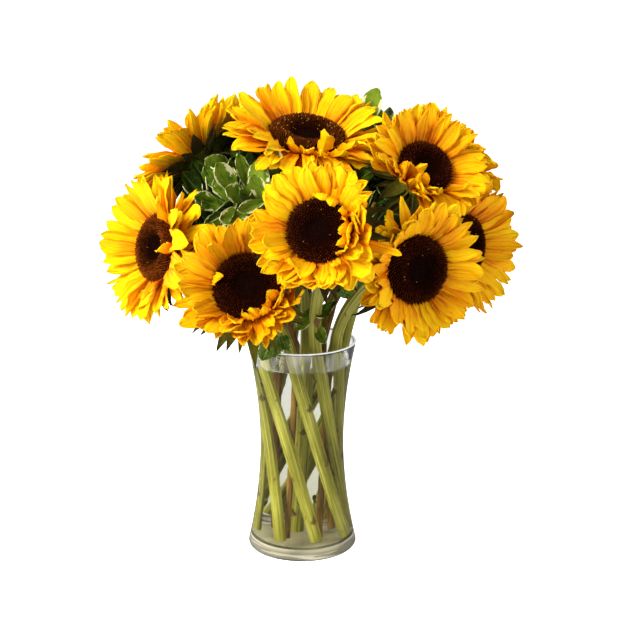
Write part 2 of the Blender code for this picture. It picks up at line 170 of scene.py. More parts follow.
class Bloom(NamedTuple):
    """A sunflower: where its disc is, which way it looks, and the line of its stem."""

    name: str
    head: tuple  # middle of the disc's base, x, y, z in millimetres
    bearing: float  # that the face looks along
    rise: float  # of the face above the horizon
    disc: float  # radius in millimetres
    petal: float  # length in millimetres
    rim: tuple  # bearing and radius in millimetres where the stem passes the vase's rim
    foot: tuple  # bearing, radius and height in millimetres of the stem's cut end
    seed: int
    pressed: tuple = ()  # (clock angle, half span, extra lift) in degrees
    leaves: tuple = ()  # (index of the stem's joint, bearing, rise, length in millimetres)
    full: float = 1.0  # width of the petals beside the others'
    amber: float = 0.7  # how far the yellow is deepened and darkened, partly the bloom's own colour and partly painted shade
    bract: float = 1.0  # length of the bracts beside the others'
    fresh_and_painted_shade: float = 0.0  # how much lighter and greener the bracts are; below 0 it is painted shade on bracts in shade
    rust: float = 0.1  # how rusty the outer florets are
    pollen: float = 0.012  # share of the florets that carry pollen


BLOOMS = (
    Bloom("centre", (17, -152, 341), -12, 22, 26.5, 37, (20, 40), (104, 39, 14), 11,
          pressed=((85, 50, 30), (190, 55, 16)), full=1.28, amber=0.3),
    Bloom("low_left", (-46, -104, 281), -4, 30, 29, 39, (345, 40), (68, 40, 13), 12,
          pressed=((115, 40, 30), (190, 50, 24)), leaves=((2, -38, -18, 36),), full=1.1,
          amber=0.85, fresh_and_painted_shade=1.3),
    Bloom("left", (-129, -26, 299), -53, 13, 30, 44, (292, 40), (20, 38, 16), 13,
          pressed=((85, 60, -32), (270, 60, 12)), amber=0.2, bract=0.8, rust=0.9),
    Bloom("top", (5, 7, 395), 20, 69, 34.5, 46, (30, 9), (210, 9, 12), 24,
          pressed=((180, 75, -24),), full=1.08, amber=0.2, rust=0.45, pollen=0.1),
    Bloom("right_high", (110, -37, 373), 23, 35, 24.5, 40, (86, 40), (168, 40, 15), 15,
          pressed=((235, 50, 40), (160, 55, 8)), amber=0.65),
    Bloom("right_low", (100, -103, 297), 29, 4, 29, 39, (53, 40), (136, 39, 13), 16,
          pressed=((310, 50, 8),), leaves=((3, 10, 55, 46),), amber=0.5),
    Bloom("right", (152, 25, 290), 50, 7, 28, 44, (119, 40), (200, 39, 17), 17, amber=0.65),
    Bloom("left_back", (-95, 43, 367), 232, 38, 27, 45, (240, 40), (330, 38, 15), 18,
          amber=0.1, bract=1.35, fresh_and_painted_shade=-0.6),
    Bloom("right_back", (141, 88, 364), 119, 37, 25, 37, (151, 40), (234, 39, 14), 19),
    Bloom("back", (10, 128, 322), 172, 25, 27, 43, (192, 40), (280, 39, 16), 20,
          leaves=((2, 230, -10, 48),)),
)

# Single petals that curl out of the ruff: clock angle, root height, length, width, lift, curl, tip, twist
# and fold, in millimetres and degrees as in Lay
CURLED = {
    "centre": (
        (104, -1, 48, 10, 2, 6, 20, 25, 30), (2, 1.5, 25, 13, 54, 85, 40, 0, 0),
        (24, 1.5, 24, 12, 54, 95, 40, 10, 0), (60, 1, 26, 13, 75, 30, 60, 30, 60),
        (74, 1, 25, 12, 85, 20, -40, -35, 60), (90, 1, 26, 12, 78, 40, 60, 30, 0),
        (112, 1, 25, 12, 80, 15, 70, -25, 50), (128, 1, 27, 12, 66, 30, -60, 30, 0),
        (150, 0, 30, 13, 46, 40, 50, 10, 60), (206, 0, 32, 18, 40, 60, 60, 0, 0),
    ),
    "low_left": (
        (280, 1.5, 19, 13, 66, 110, 60, 0, 0), (118, 1, 29, 13, 80, 30, 60, 30, 50),
        (132, 1, 28, 13, 72, 50, -60, -25, 60), (146, 1, 30, 14, 66, 30, 60, 25, 0),
        (160, 0, 28, 13, 62, 60, 50, -20, 60), (176, 0, 27, 13, 70, 20, 70, 20, 50),
        (318, 0, 40, 15, 52, 40, 30, 20, 40), (338, 0, 42, 15, 60, 20, -30, -20, 0),
    ),
    "left": (
        (74, 1.5, 46, 20, 62, -84, -20, 10, 0), (94, 1.5, 47, 21, 58, -84, -20, -15, 0),
        (38, 0, 48, 15, 50, 10, -60, 20, 30), (113, 1, 44, 19, 52, -76, 20, 20, 0),
        (54, 1.5, 46, 19, 56, -60, 20, -10, 20), (84, 1.5, 26, 12, 80, -24, 0, 30, 40),
    ),
    "top": (
        (172, 1, 27, 15, 80, -10, -70, 20, 40), (200, 1, 28, 14, 34, 20, -70, -20, 50),
        (216, 1, 30, 14, 44, 10, 60, 20, 0), (150, 0, 30, 14, 30, 20, 70, 20, 60),
        (184, 0, 30, 14, 24, 20, 60, 0, 40), (230, 0, 34, 15, 30, 0, -60, 20, 40),
        (136, 0, 32, 14, 26, 20, -60, -20, 40), (164, 0, 30, 15, 18, 20, 70, 20, 40),
        (284, -1, 45, 18, 12, -8, 0, 8, 0), (302, -1, 46, 18, 16, -6, 20, -8, 0),
        (322, -1, 45, 19, 20, -8, 10, 6, 0), (335, 0, 44, 18, 30, -12, -10, -6, 0),
    ),
    "left_back": (
        (338, -1, 48, 24, 24, 10, 30, 20, 30), (100, -1, 44, 18, 10, 6, -40, 30, 30),
        (128, -1, 42, 16, 20, 6, 60, -30, 40), (352, 0, 44, 20, 40, 6, -30, -20, 0),
    ),
    "right_high": (
        (218, 1, 26, 13, 78, 40, 60, 20, 50), (236, 1, 28, 13, 70, 60, 40, -25, 40),
        (200, 1, 25, 12, 62, 40, -60, 20, 50), (252, 0, 40, 14, 50, 50, 40, 20, 60),
        (182, 1, 24, 12, 52, 40, 60, 10, 50),
    ),
    "right_low": (
        (300, 1.5, 38, 19, 60, -70, 40, 20, 20), (318, 1, 40, 20, 56, -16, 50, -10, 20),
        (278, 1.5, 36, 18, 50, -50, 30, 20, 0), (250, 1, 36, 18, 52, -60, -40, 20, 20),
        (224, 1, 36, 17, 50, -20, 40, -20, 20), (338, 1, 38, 18, 60, -30, 50, 20, 20),
    ),
}


class Sprig(NamedTuple):
    """A twig in the water with leafy shoots at its top. Bearings in degrees, places in millimetres."""

    name: str
    foot: tuple  # bearing, radius, height
    rim: tuple  # bearing, radius
    fork: tuple  # x, y, z where the shoots part
    tips: tuple  # x, y, z of each shoot's end
    leaves: int  # on each shoot
    leaf: float  # length
    seed: int
    grown: float = 1.0  # the finer leaves' length beside those of the rule
    more_tips: tuple = ()  # of side shoots
    tones_and_painted_shade: tuple = (0.3, 1.0)  # of the leaves, dark to pale; a low range is painted shade on sprigs deep in the bunch
    broad: tuple = ()  # (root, tip, width, tone) of single larger leaves; a low tone is painted shade


SPRIGS = (
    Sprig("sprig_left", (325, 21, 13), (350, 22), (-32, -34, 285),
          ((-62, -44, 344), (-32, -62, 350), (-80, -18, 334)), 5, 34, 31, 1.25,
          ((-92, -20, 325), (-60, 10, 360)), (0.35, 1.0),
          (((-20, -40, 360), (-26, -42, 396), 20, 1.0), ((-54, -50, 350), (-74, -66, 384), 20, 0.8),
           ((-42, -44, 350), (-56, -50, 390), 14, 0.75), ((-39, -58, 346), (-66, -74, 363), 18, 0.9),
           ((-39, -60, 342), (-71, -80, 336), 18, 0.85), ((-28, -66, 351), (-55, -84, 345), 13, 1.0),
           ((-70, -48, 340), (-94, -60, 353), 19, 0.6), ((-66, -50, 337), (-85, -62, 325), 14, 0.55),
           ((-34, -70, 328), (-47, -84, 317), 12, 0.7), ((-16, -60, 353), (-33, -70, 366), 11, 1.0),
           ((-84, -20, 342), (-107, -20, 368), 18, 0.1), ((-81, -10, 349), (-99, -10, 377), 18, 0.05),
           ((-63, -10, 360), (-46, -10, 386), 18, 0.1), ((-60, 0, 364), (-56, 0, 394), 18, 0.05),
           ((-84, -34, 330), (-104, -36, 350), 17, 0.1), ((-70, -24, 350), (-88, -16, 372), 17, 0.5))),
    Sprig("sprig_right", (40, 21, 13), (75, 22), (40, -28, 285),
          ((46, -76, 322), (58, -58, 322)), 6, 32, 32, 1.0,
          ((74, -20, 362), (52, -10, 362), (66, -50, 345)), (0.0, 0.4),
          (((44, -30, 358), (67, -40, 375), 15, 0.2), ((59, -20, 342), (82, -30, 366), 16, 0.15),
           ((59, -40, 333), (75, -50, 311), 15, 0.45), ((55, -30, 320), (71, -36, 349), 16, 0.15),
           ((65, -20, 305), (83, -20, 329), 16, 0.1), ((55, -40, 300), (68, -40, 276), 15, 0.3),
           ((82, -16, 358), (58, -14, 378), 17, 0.1), ((74, -26, 312), (98, -32, 331), 17, 0.1),
           ((15, -40, 249), (-4, -62, 231), 14, 0.8), ((10, -40, 236), (23, -64, 219), 13, 0.75),
           ((32, -40, 253), (14, -60, 242), 13, 0.5))),
    Sprig("sprig_top", (110, 21, 13), (150, 22), (30, 34, 330),
          ((70, 72, 388), (-30, 64, 370)), 6, 34, 33, 1.0,
          (), (0.1, 0.7), (((54, 60, 392), (73, 62, 434), 25, 1.0),)),
    Sprig("sprig_back", (240, 21, 13), (220, 22), (-30, 60, 280),
          ((-60, 104, 325), (62, 90, 318)), 6, 34, 34, 1.0,
          ((-72, 40, 352), (-40, 40, 372)), (0.0, 0.6)),
)


# Shader maths


class Number:
    """A value in a material. Sums written with it add Math nodes."""

    def __init__(self, finish, socket):
        self.finish = finish
        self.socket = socket

    def __add__(self, other):
        return self.finish.math("ADD", self, other)

    def __sub__(self, other):
        return self.finish.math("SUBTRACT", self, other)

    def __rsub__(self, other):
        return self.finish.math("SUBTRACT", other, self)

    def __mul__(self, other):
        return self.finish.math("MULTIPLY", self, other)

    def __truediv__(self, other):
        return self.finish.math("DIVIDE", self, other)

    def __pow__(self, other):
        return self.finish.math("POWER", self, other)

    def __abs__(self):
        return self.finish.math("ABSOLUTE", self)

    def between(self, low, high):
        """0 below low, 1 above high and smooth in between."""
        values = {"Value": self, "From Min": low, "From Max": high}
        made = self.finish.node("MapRange", {"interpolation_type": "SMOOTHSTEP"}, values)
        return Number(self.finish, made.outputs[0])

    __radd__ = __add__
    __rmul__ = __mul__


class Finish:
    """A material in the making, with one Principled shader whose constants are set at the start."""

    def __init__(self, name, **constants):
        self.material = bpy.data.materials.new(name)
        self.material.use_nodes = True
        self.tree = self.material.node_tree
        self.shader = self.tree.nodes["Principled BSDF"]
        for socket, value in constants.items():
            self.shader.inputs[socket.replace("_", " ")].default_value = value

    def node(self, kind, settings=None, values=None):
        """A node with its settings made first, then the values or links of its sockets, by name or number."""
        made = self.tree.nodes.new("ShaderNode" + kind)
        for key, value in (settings or {}).items():
            setattr(made, key, value)
        for key, value in (values or {}).items():
            self.feed(made.inputs[key], value)
        return made

    def feed(self, socket, value):
        """Links a node's output to the socket, or sets the socket's own value."""
        if isinstance(value, Number):
            value = value.socket
        if isinstance(value, bpy.types.NodeSocket):
            self.tree.links.new(value, socket)
        elif isinstance(value, tuple) and len(value) == 3 and socket.type == "RGBA":
            socket.default_value = (*value, 1)
        else:
            socket.default_value = value

    def math(self, operation, first, second=0.0):
        made = self.node("Math", {"operation": operation}, {0: first, 1: second})
        return Number(self, made.outputs[0])

    def place(self, scale=(1, 1, 1)):
        """The place on the object in metres, times scale."""
        coords = self.node("TexCoord").outputs["Object"]
        return self.node("Mapping", values={"Vector": coords, "Scale": scale}).outputs[0]

    def split(self, vector):
        made = self.node("SeparateXYZ", values={0: vector})
        return [Number(self, output) for output in made.outputs]

    def height(self):
        return self.split(self.place())[2]

    def across_and_along(self):
        """The two numbers of a blade's UV map. On a tube they're the place along it and round it."""
        return self.split(self.node("UVMap", {"uv_map": "UVMap"}).outputs[0])[:2]

    def vector(self, x, y, z):
        return self.node("CombineXYZ", values={0: x, 1: y, 2: z}).outputs[0]

    def round_a_tube(self, about, along, fine):
        """A place for noise on a tube, with no seam where its UV map closes."""
        turn = about * TURN
        return self.vector(self.math("COSINE", turn) * fine, self.math("SINE", turn) * fine, along)

    def mark(self, name):
        """A number that the mesh carries."""
        made = self.node("Attribute", {"attribute_name": name})
        return Number(self, made.outputs["Fac"])

    def noise(self, vector, scale=1.0, detail=2.0):
        values = {"Vector": vector, "Scale": scale, "Detail": detail, "Roughness": 0.5}
        return Number(self, self.node("TexNoise", values=values).outputs[0])

    def ramp(self, value, *stops):
        """The colour between (place, colour) stops."""
        made = self.node("ValToRGB", values={0: value})
        elements = made.color_ramp.elements
        while len(elements) < len(stops):
            elements.new(0.5)
        for element, (place, colour) in zip(elements, stops):
            element.position = place
            element.color = (*colour, 1)
        return made.outputs[0]

    def mix(self, share, first, second, how="MIX"):
        settings = {"data_type": "RGBA", "blend_type": how}
        return self.node("Mix", settings, {0: share, 6: first, 7: second}).outputs[2]

    def glow(self, colour):
        self.feed(self.shader.inputs["Emission Color"], colour)

    def skin(self, colour, roughness=None, relief=None, depth=1 * MM):
        """Links the colour, the roughness and a relief of the given depth, and returns the material."""
        self.feed(self.shader.inputs["Base Color"], colour)
        if roughness is not None:
            self.feed(self.shader.inputs["Roughness"], roughness)
        if relief is not None:
            values = {"Height": relief, "Distance": depth, "Strength": 1.0}
            bump = self.node("Bump", values=values)
            self.feed(self.shader.inputs["Normal"], bump.outputs[0])
        return self.material


# Finishes


def petal_finish():
    """Deep yellow with fine veins, uneven from petal to petal, orange at the root, partly as painted shade.
    """
    finish = Finish("ray_petal", Specular_IOR_Level=0.1)
    across, along = finish.across_and_along()
    tone = finish.mark("tone")
    fine = finish.noise(finish.vector(across * 26, along * 1.6, tone * 40), 1.0, 3.0)
    blotch = finish.noise(finish.place(), 90.0)
    margin = abs(across - 0.5) * 2
    furrow = finish.math("COSINE", across * (3 * TURN)) * 0.5 + 0.5
    crease = finish.math("COSINE", across * (5 * TURN) + fine * 5).between(0.55, 1.0)
    # Partly painted shade: near the disc, low along the petal, the colour turns darker orange.
    heat = along * 0.75 + (fine - 0.5) * 0.35 + (blotch - 0.5) * 0.35 + (tone - 0.5) * 0.45
    # Painted shade: darker along the edges, where petals overlap, and along the furrows and creases.
    heat = heat - margin**4 * 0.2 - furrow * 0.08 - crease * 0.06 + 0.22
    colour = finish.ramp(
        heat, (0.0, (0.55, 0.11, 0.002)), (0.16, (0.84, 0.28, 0.002)), (0.42, (0.98, 0.5, 0.002)),
        (0.75, (1.0, 0.63, 0.003)), (1.0, (1.0, 0.74, 0.006)),
    )
    # Partly painted shade: the multiply darkens blooms that are less lit, beside their own deeper colour.
    colour = finish.mix(finish.mark("amber"), colour, (0.87, 0.72, 1.0), "MULTIPLY")
    return finish.skin(colour, 0.5 + fine * 0.2, fine * 0.6 - crease * 0.4, 0.5 * MM)


def floret_finish():
    """Near black in the middle of the disc and rusty towards its edge, with brighter tips."""
    finish = Finish("seed_head", Specular_IOR_Level=0.02)
    ring, tip = finish.mark("ring"), finish.across_and_along()[1]
    tone = finish.mark("tone")
    grain = finish.noise(finish.place(), 900.0)
    dark = finish.ramp(
        ring, (0.0, (0.006, 0.0025, 0.001)), (0.3, (0.006, 0.001, 0.001)),
        (0.62, (0.014, 0.0015, 0.001)), (1.0, (0.028, 0.004, 0.001)),
    )
    bright = finish.ramp(
        ring, (0.0, (0.016, 0.006, 0.002)), (0.35, (0.014, 0.003, 0.001)),
        (0.68, (0.04, 0.006, 0.002)), (0.95, (0.1, 0.02, 0.003)),
    )
    # Painted light: the florets' tips are painted brighter, as if lit, and their feet darker, as in shade.
    lit = (tip + (tone - 0.5) * 0.5).between(0.5, 1.05)
    pollen = finish.mark("pollen") * tip.between(0.55, 0.8)
    rusty = finish.mark("rust") * ring.between(0.3, 0.8) * (tone * 0.6 + 0.2)
    body = finish.mix(rusty, finish.mix(lit, dark, bright), (0.3, 0.075, 0.008))
    colour = finish.mix(pollen * 0.7, body, (0.5, 0.23, 0.03))
    return finish.skin(colour, 0.75 + grain * 0.2, grain, 0.3 * MM)


def stem_finish():
    """Pale olive green with lengthwise streaks, painted shade in its grooves, brown flecks and leaf scars."""
    finish = Finish("stem_skin", Specular_IOR_Level=0.25)
    along, about = finish.across_and_along()
    streak = finish.noise(finish.round_a_tube(about, along * 5, 4.5), 1.0, 3.0)
    patch = finish.noise(finish.place((40, 40, 14)))
    # Painted shade: the grooves between the ribs are coloured darker.
    groove = 0.5 - finish.math("COSINE", about * (TURN * STEM_RIBS)) * 0.5
    colour = finish.ramp(
        streak * 0.7 + patch * 0.4 - groove**3 * 0.08,
        (0.25, (0.07, 0.06, 0.006)), (0.42, (0.17, 0.155, 0.014)),
        (0.56, (0.29, 0.275, 0.035)), (0.75, (0.52, 0.49, 0.14)),
    )
    fleck = finish.noise(finish.place((300, 300, 90))).between(0.68, 0.76)
    scar = (finish.mark("scar") * (streak + 0.6)).between(0.3, 0.6)
    worn = finish.mix(finish.math("MAXIMUM", fleck, scar), colour, (0.15, 0.075, 0.02))
    return finish.skin(worn, 0.45 + streak * 0.25, streak, 0.6 * MM)


def bract_finish():
    """Dark brownish green that dries at the tips."""
    finish = Finish("bract_green", Specular_IOR_Level=0.1)
    across, along = finish.across_and_along()
    tone = finish.mark("tone")
    grain = finish.noise(finish.place((260, 260, 260)), 1.0, 3.0)
    vein = finish.noise(finish.vector(across * 18, along * 2, tone * 30))
    colour = finish.ramp(
        along * 0.75 + (grain - 0.5) * 0.5 + (tone - 0.5) * 0.3 + (vein - 0.5) * 0.3,
        (0.0, (0.12, 0.12, 0.01)), (0.3, (0.05, 0.047, 0.006)),
        (0.65, (0.03, 0.022, 0.005)), (1.0, (0.06, 0.026, 0.006)),
    )
    return finish.skin(colour, 0.55 + grain * 0.3, vein + grain * 0.5, 0.5 * MM)


def leaf_finish():
    """A sunflower's leaf: mid green with a net of paler veins."""
    finish = Finish("broad_leaf", Specular_IOR_Level=0.12)
    across, along = finish.across_and_along()
    off = abs(across - 0.5)
    rib = finish.math("SINE", (along - off * 0.9) * 46).between(0.86, 1.0)
    middle = 1 - off.between(0.012, 0.05)
    vein = finish.math("MAXIMUM", rib * 0.7, middle)
    patch = finish.noise(finish.place(), 220.0, 3.0)
    ground = finish.ramp(patch, (0.3, (0.03, 0.06, 0.006)), (0.7, (0.1, 0.16, 0.016)))
    colour = finish.mix(vein, ground, (0.25, 0.33, 0.1))
    return finish.skin(colour, 0.5 + patch * 0.2, patch * 0.6 - vein * 0.8, 0.8 * MM)


def variegated_finish():
    """Pittosporum: dark green blotched with paler green, an uneven cream margin, and painted shade by tone.
    """
    finish = Finish("variegated_leaf", Specular_IOR_Level=0.1)
    across, along = finish.across_and_along()
    tone = finish.mark("tone")
    off = abs(across - 0.5) * 2
    tip = along.between(0.72, 1.04)
    broad = finish.noise(finish.vector(across * 2, along * 2.5, tone * 60), 1.0, 1.0)
    rough = finish.noise(finish.vector(across * 9, along * 13, tone * 30))
    edge = finish.math("MAXIMUM", off, tip) + (broad - 0.5) * 1.7 + (rough - 0.5) * 0.7
    # Painted shade: leaves of low tone lose their cream margin.
    cream = edge.between(0.9, 0.98) * tone.between(0.25, 0.5)
    patch = finish.noise(finish.vector(across * 3, along * 4, tone * 50 + 7))
    # Partly painted shade: a low tone darkens the green.
    green = finish.ramp(
        patch + (tone - 0.5) * 0.6, (0.25, (0.012, 0.02, 0.002)), (0.42, (0.035, 0.065, 0.003)),
        (0.58, (0.085, 0.15, 0.006)), (0.8, (0.17, 0.25, 0.018)),
    )
    middle = 1 - off.between(0.02, 0.09)
    veined = finish.mix(middle * 0.4, green, (0.2, 0.29, 0.05))
    colour = finish.mix(cream, veined, (0.7, 0.67, 0.36))
    vein = finish.math("SINE", (along - off * 0.3) * 60)
    return finish.skin(colour, 0.32 + patch * 0.2, vein * 0.15 - middle * 0.5, 0.5 * MM)


def bark_finish():
    """A woody brown twig, streaked and mottled."""
    finish = Finish("twig_bark", Specular_IOR_Level=0.3)
    along, about = finish.across_and_along()
    streak = finish.noise(finish.round_a_tube(about, along * 20, 2.5), 1.0, 4.0)
    knot = finish.noise(finish.place((90, 90, 40)))
    colour = finish.ramp(
        streak * 0.6 + knot * 0.5,
        (0.3, (0.06, 0.026, 0.006)), (0.55, (0.17, 0.085, 0.014)), (0.8, (0.34, 0.21, 0.05)),
    )
    return finish.skin(colour, 0.6 + streak * 0.3, streak, 0.6 * MM)


def pith_finish():
    """The cut end of a stem: pale fibrous pith."""
    finish = Finish("cut_pith", Specular_IOR_Level=0.3)
    grain = finish.noise(finish.place(), 900.0, 3.0)
    colour = finish.ramp(grain, (0.3, (0.42, 0.4, 0.18)), (0.7, (0.72, 0.7, 0.45)))
    return finish.skin(colour, 0.7 + grain * 0.2, grain, 0.4 * MM)


def glass_finish(name, bends, bands, sheen=0.0):
    """Clear soda glass with slight waves, painted darker in the foot as shade and streaked there with painted
    highlights.

    bends is its IOR beside what it meets, bands are the (low, high) heights of painted shade where a thick
    corner gathers shade, which reaches higher at the sides, and sheen is how strongly soft, glowing patches
    of painted light lie on it.
    """
    finish = Finish(name, Transmission_Weight=1.0, IOR=bends, Emission_Strength=1.0)
    wave = finish.noise(finish.place((1, 1, 0.35)), 38.0, 1.0)
    height = finish.height() + (wave - 0.5) * (1.5 * MM)
    # Painted shade: the glass is coloured darker towards the foot and darkest at its bottom edge.
    colour = finish.ramp(height / VASE_HEIGHT, *GLASS_TINT_AND_SHADE)
    # Painted highlight: pale streaks of light, in the foot only.
    streak = finish.noise(finish.place((26, 26, 300))).between(0.54, 0.6)
    in_foot = 1 - height.between(FLOOR, FLOOR + 1 * MM)
    colour = finish.mix(streak * in_foot * 0.6, colour, GLASS_HIGHLIGHT_STREAK)
    side = abs(finish.split(finish.place())[0]) / (WAIST_RADIUS + FOOT_FLARE)
    # Painted shade: a dark line at each band.
    for low, high in bands:
        above = (height - side**3 * (2.5 * MM)).between(high, high + 0.8 * MM)
        corner = height.between(low, low + 0.5 * MM) * (1 - above)
        colour = finish.mix(corner, colour, SHADED_GLASS)
    # Painted highlight: patches of the glass glow white, as strongly as sheen says.
    patch = finish.noise(finish.place((42, 42, 16))).between(0.4, 0.75)
    finish.glow(finish.mix(patch * sheen, (0, 0, 0), (1, 1, 0.98)))
    return finish.skin(colour, wave * 0.01, wave, 0.15 * MM)


def lip_highlight_finish():
    """The fire-polished lip, with a painted highlight: it glows a broken pale white and lets little light
    through.
    """
    finish = Finish("lip_glass", Transmission_Weight=0.15, IOR=GLASS_IOR, Emission_Strength=0.4)
    wave = finish.noise(finish.place(), 60.0)
    colour = finish.ramp(wave, (0.3, (0.72, 0.73, 0.71)), (0.6, (0.97, 0.98, 0.97)))
    # Painted highlight: the lip glows in its own pale colour.
    finish.glow(colour)
    return finish.skin(colour, 0.1 + wave * 0.1, wave, 0.2 * MM)


def foot_finish():
    """The underside of the glass, worn dull by the table, with a painted dark ring of shade that shows
    through the foot.
    """
    finish = Finish("foot_glass", Specular_IOR_Level=0.3)
    wear = finish.noise(finish.place(), 60.0, 3.0)
    away = finish.node("VectorMath", {"operation": "LENGTH"}, {0: finish.place()})
    ring = Number(finish, away.outputs["Value"]) / (WAIST_RADIUS + FOOT_FLARE)
    # Painted shade: the dark ring near the edge shows through the foot as a dark line.
    colour = finish.ramp(
        ring + (wear - 0.5) * 0.12,
        (0.0, (0.5, 0.46, 0.34)), (0.62, (0.62, 0.58, 0.46)), (0.74, (0.7, 0.67, 0.58)),
        (0.8, (0.3, 0.3, 0.26)), (0.86, (0.62, 0.6, 0.54)),
    )
    return finish.skin(colour, 0.5 + wear * 0.3, wear, 0.2 * MM)


def water_finish(name, bends):
    """Water that is tinted darker and yellower towards the bottom."""
    finish = Finish(name, Transmission_Weight=1.0, IOR=bends, Roughness=0.0)
    # Noise that makes the tint uneven.
    water_noise = finish.noise(finish.place(), 30.0)
    colour = finish.ramp(
        finish.height() / WATER_LEVEL + (water_noise - 0.5) * 0.2,
        (0.05, (0.66, 0.64, 0.49)), (0.3, (0.8, 0.79, 0.66)), (1.0, (0.93, 0.93, 0.85)),
    )
    return finish.skin(colour)


def floor_finish():
    """A white table that glows where it is seen straight or through glass, and is dim in reflections."""
    finish = Finish("pale_floor", Specular_IOR_Level=0.1, Emission_Strength=1.0)
    path = finish.node("LightPath")
    seen = finish.math("MAXIMUM", path.outputs["Is Camera Ray"], path.outputs["Is Transmission Ray"])
    finish.glow(finish.mix(seen, DIM_FLOOR, LIT_FLOOR))
    grain = finish.noise(finish.place(), 3.0)
    colour = finish.ramp(grain, (0.3, (0.74, 0.74, 0.74)), (0.7, (0.76, 0.76, 0.757)))
    colour = finish.mix(path.outputs["Is Glossy Ray"], colour, (0.1, 0.1, 0.1))
    return finish.skin(colour, 0.8 + grain * 0.1)


# Modelling by hand


def take(first, *others):
    """Selects these objects alone, with the first one active."""
    bpy.ops.object.select_all(action="DESELECT")
    for obj in (first, *others):
        obj.select_set(True)
    bpy.context.view_layer.objects.active = first


def start(obj):
    """Opens the object for editing by its vertices."""
    take(obj)
    bpy.ops.object.mode_set(mode="EDIT")
    bpy.ops.mesh.select_mode(type="VERT")


def choose(obj, test):
    """Selects the vertices whose place passes the test."""
    shape = bmesh.from_edit_mesh(obj.data)
    for vert in shape.verts:
        vert.select_set(bool(test(vert.co)))
    shape.select_flush_mode()
    bmesh.update_edit_mesh(obj.data)


def close_edit():
    bpy.ops.object.mode_set(mode="OBJECT")


def close_solid(weld):
    """Joins vertices nearer than weld, turns all faces outward and ends the editing."""
    bpy.ops.mesh.select_all(action="SELECT")
    bpy.ops.mesh.remove_doubles(threshold=weld)
    bpy.ops.mesh.normals_make_consistent(inside=False)
    close_edit()


def blade(name, width, length, rows, ribs, outline, thickness, aside=0.0):
    """A thin closed blade along Y, in millimetres.

    rows are shares of its length, ribs the heights of its columns from side to side, and outline half its
    width at a share of its length, beside its full width. Towards its tip it steps aside three times.
    """
    width, length = width * MM, length * MM
    across, along = len(ribs) - 1, len(rows) - 1
    bpy.ops.mesh.primitive_grid_add(x_subdivisions=across, y_subdivisions=along, size=1, location=(0, 0.5, 0))
    obj = bpy.context.object
    obj.name = name
    obj.scale = (width, length, 1)
    obj.location.y = 0.5 * length
    bpy.ops.object.transform_apply(location=True, rotation=False, scale=True)
    start(obj)
    for i, height in enumerate(ribs):
        column = width * (i / across - 0.5)
        choose(obj, lambda place: abs(place.x - column) < 0.02 * width)
        bpy.ops.transform.translate(value=(0, 0, height * MM))
    for i, share in enumerate(rows):
        row = length * i / along
        choose(obj, lambda place: abs(place.y - row) < 0.01 * MM)
        bpy.ops.transform.resize(value=(max(2 * outline(share), 1e-4), 1, 1))
        bpy.ops.transform.translate(value=(0, share * length - row + ASIDE, 0))
    bpy.ops.mesh.select_all(action="SELECT")
    bpy.ops.transform.translate(value=(0, -ASIDE, 0))
    choose(obj, lambda place: place.y > 0.9999 * length)
    bpy.ops.mesh.merge(type="CENTER")
    close_edit()
    modifier = obj.modifiers.new("thickness", "SOLIDIFY")
    modifier.thickness = thickness * MM
    modifier.offset = -1
    bpy.ops.object.modifier_apply(modifier=modifier.name)
    start(obj)
    bpy.ops.mesh.select_all(action="SELECT")
    bpy.ops.mesh.normals_make_consistent(inside=False)
    for share in TIP_STEPS:
        choose(obj, lambda place: place.y > share * length)
        bpy.ops.transform.translate(value=(aside * MM, 0, 0))
    close_edit()
    return Form(obj, width)


def lathe(name, profile, steps):
    """A closed turned shape: a point drawn out along the profile from the axis back to it, then spun."""
    radius, height = profile[0]
    bpy.ops.mesh.primitive_plane_add(size=2 * MM, location=(0, 0, 0))
    obj = bpy.context.object
    obj.name = name
    start(obj)
    bpy.ops.mesh.select_all(action="SELECT")
    bpy.ops.mesh.merge(type="CENTER")
    bpy.ops.transform.translate(value=(radius, 0, height))
    for (r0, h0), (r1, h1) in zip(profile, profile[1:]):
        bpy.ops.mesh.extrude_region_move(TRANSFORM_OT_translate={"value": (r1 - r0, 0, h1 - h0)})
    bpy.ops.mesh.select_all(action="SELECT")
    bpy.ops.mesh.spin(steps=steps, angle=TURN, center=(0, 0, 0), axis=(0, 0, 1))
    close_solid(0.02 * MM)
    return obj


class Form:
    """A modelled shape read back as arrays, to be copied. width is a blade's full width."""

    def __init__(self, obj, width=1.0):
        mesh = obj.data
        self.points = np.array([vert.co for vert in mesh.vertices], float)
        self.faces = [tuple(face.vertices) for face in mesh.polygons]
        loops = [i for face in mesh.polygons for i in face.loop_indices]
        layer = mesh.uv_layers.active
        self.uv = np.array([layer.uv[i].vector for i in loops], float)
        self.length = self.points[:, 1].max()
        self.width = width
        bpy.data.objects.remove(obj)


def turned_form(name, profile, steps, frame, level):
    """A turned shape read back in its frame, with its whole UV map at one level along."""
    obj = lathe(name, profile, steps)
    obj.data.transform(frame)
    form = Form(obj)
    form.uv[:, 1] = level
    return form


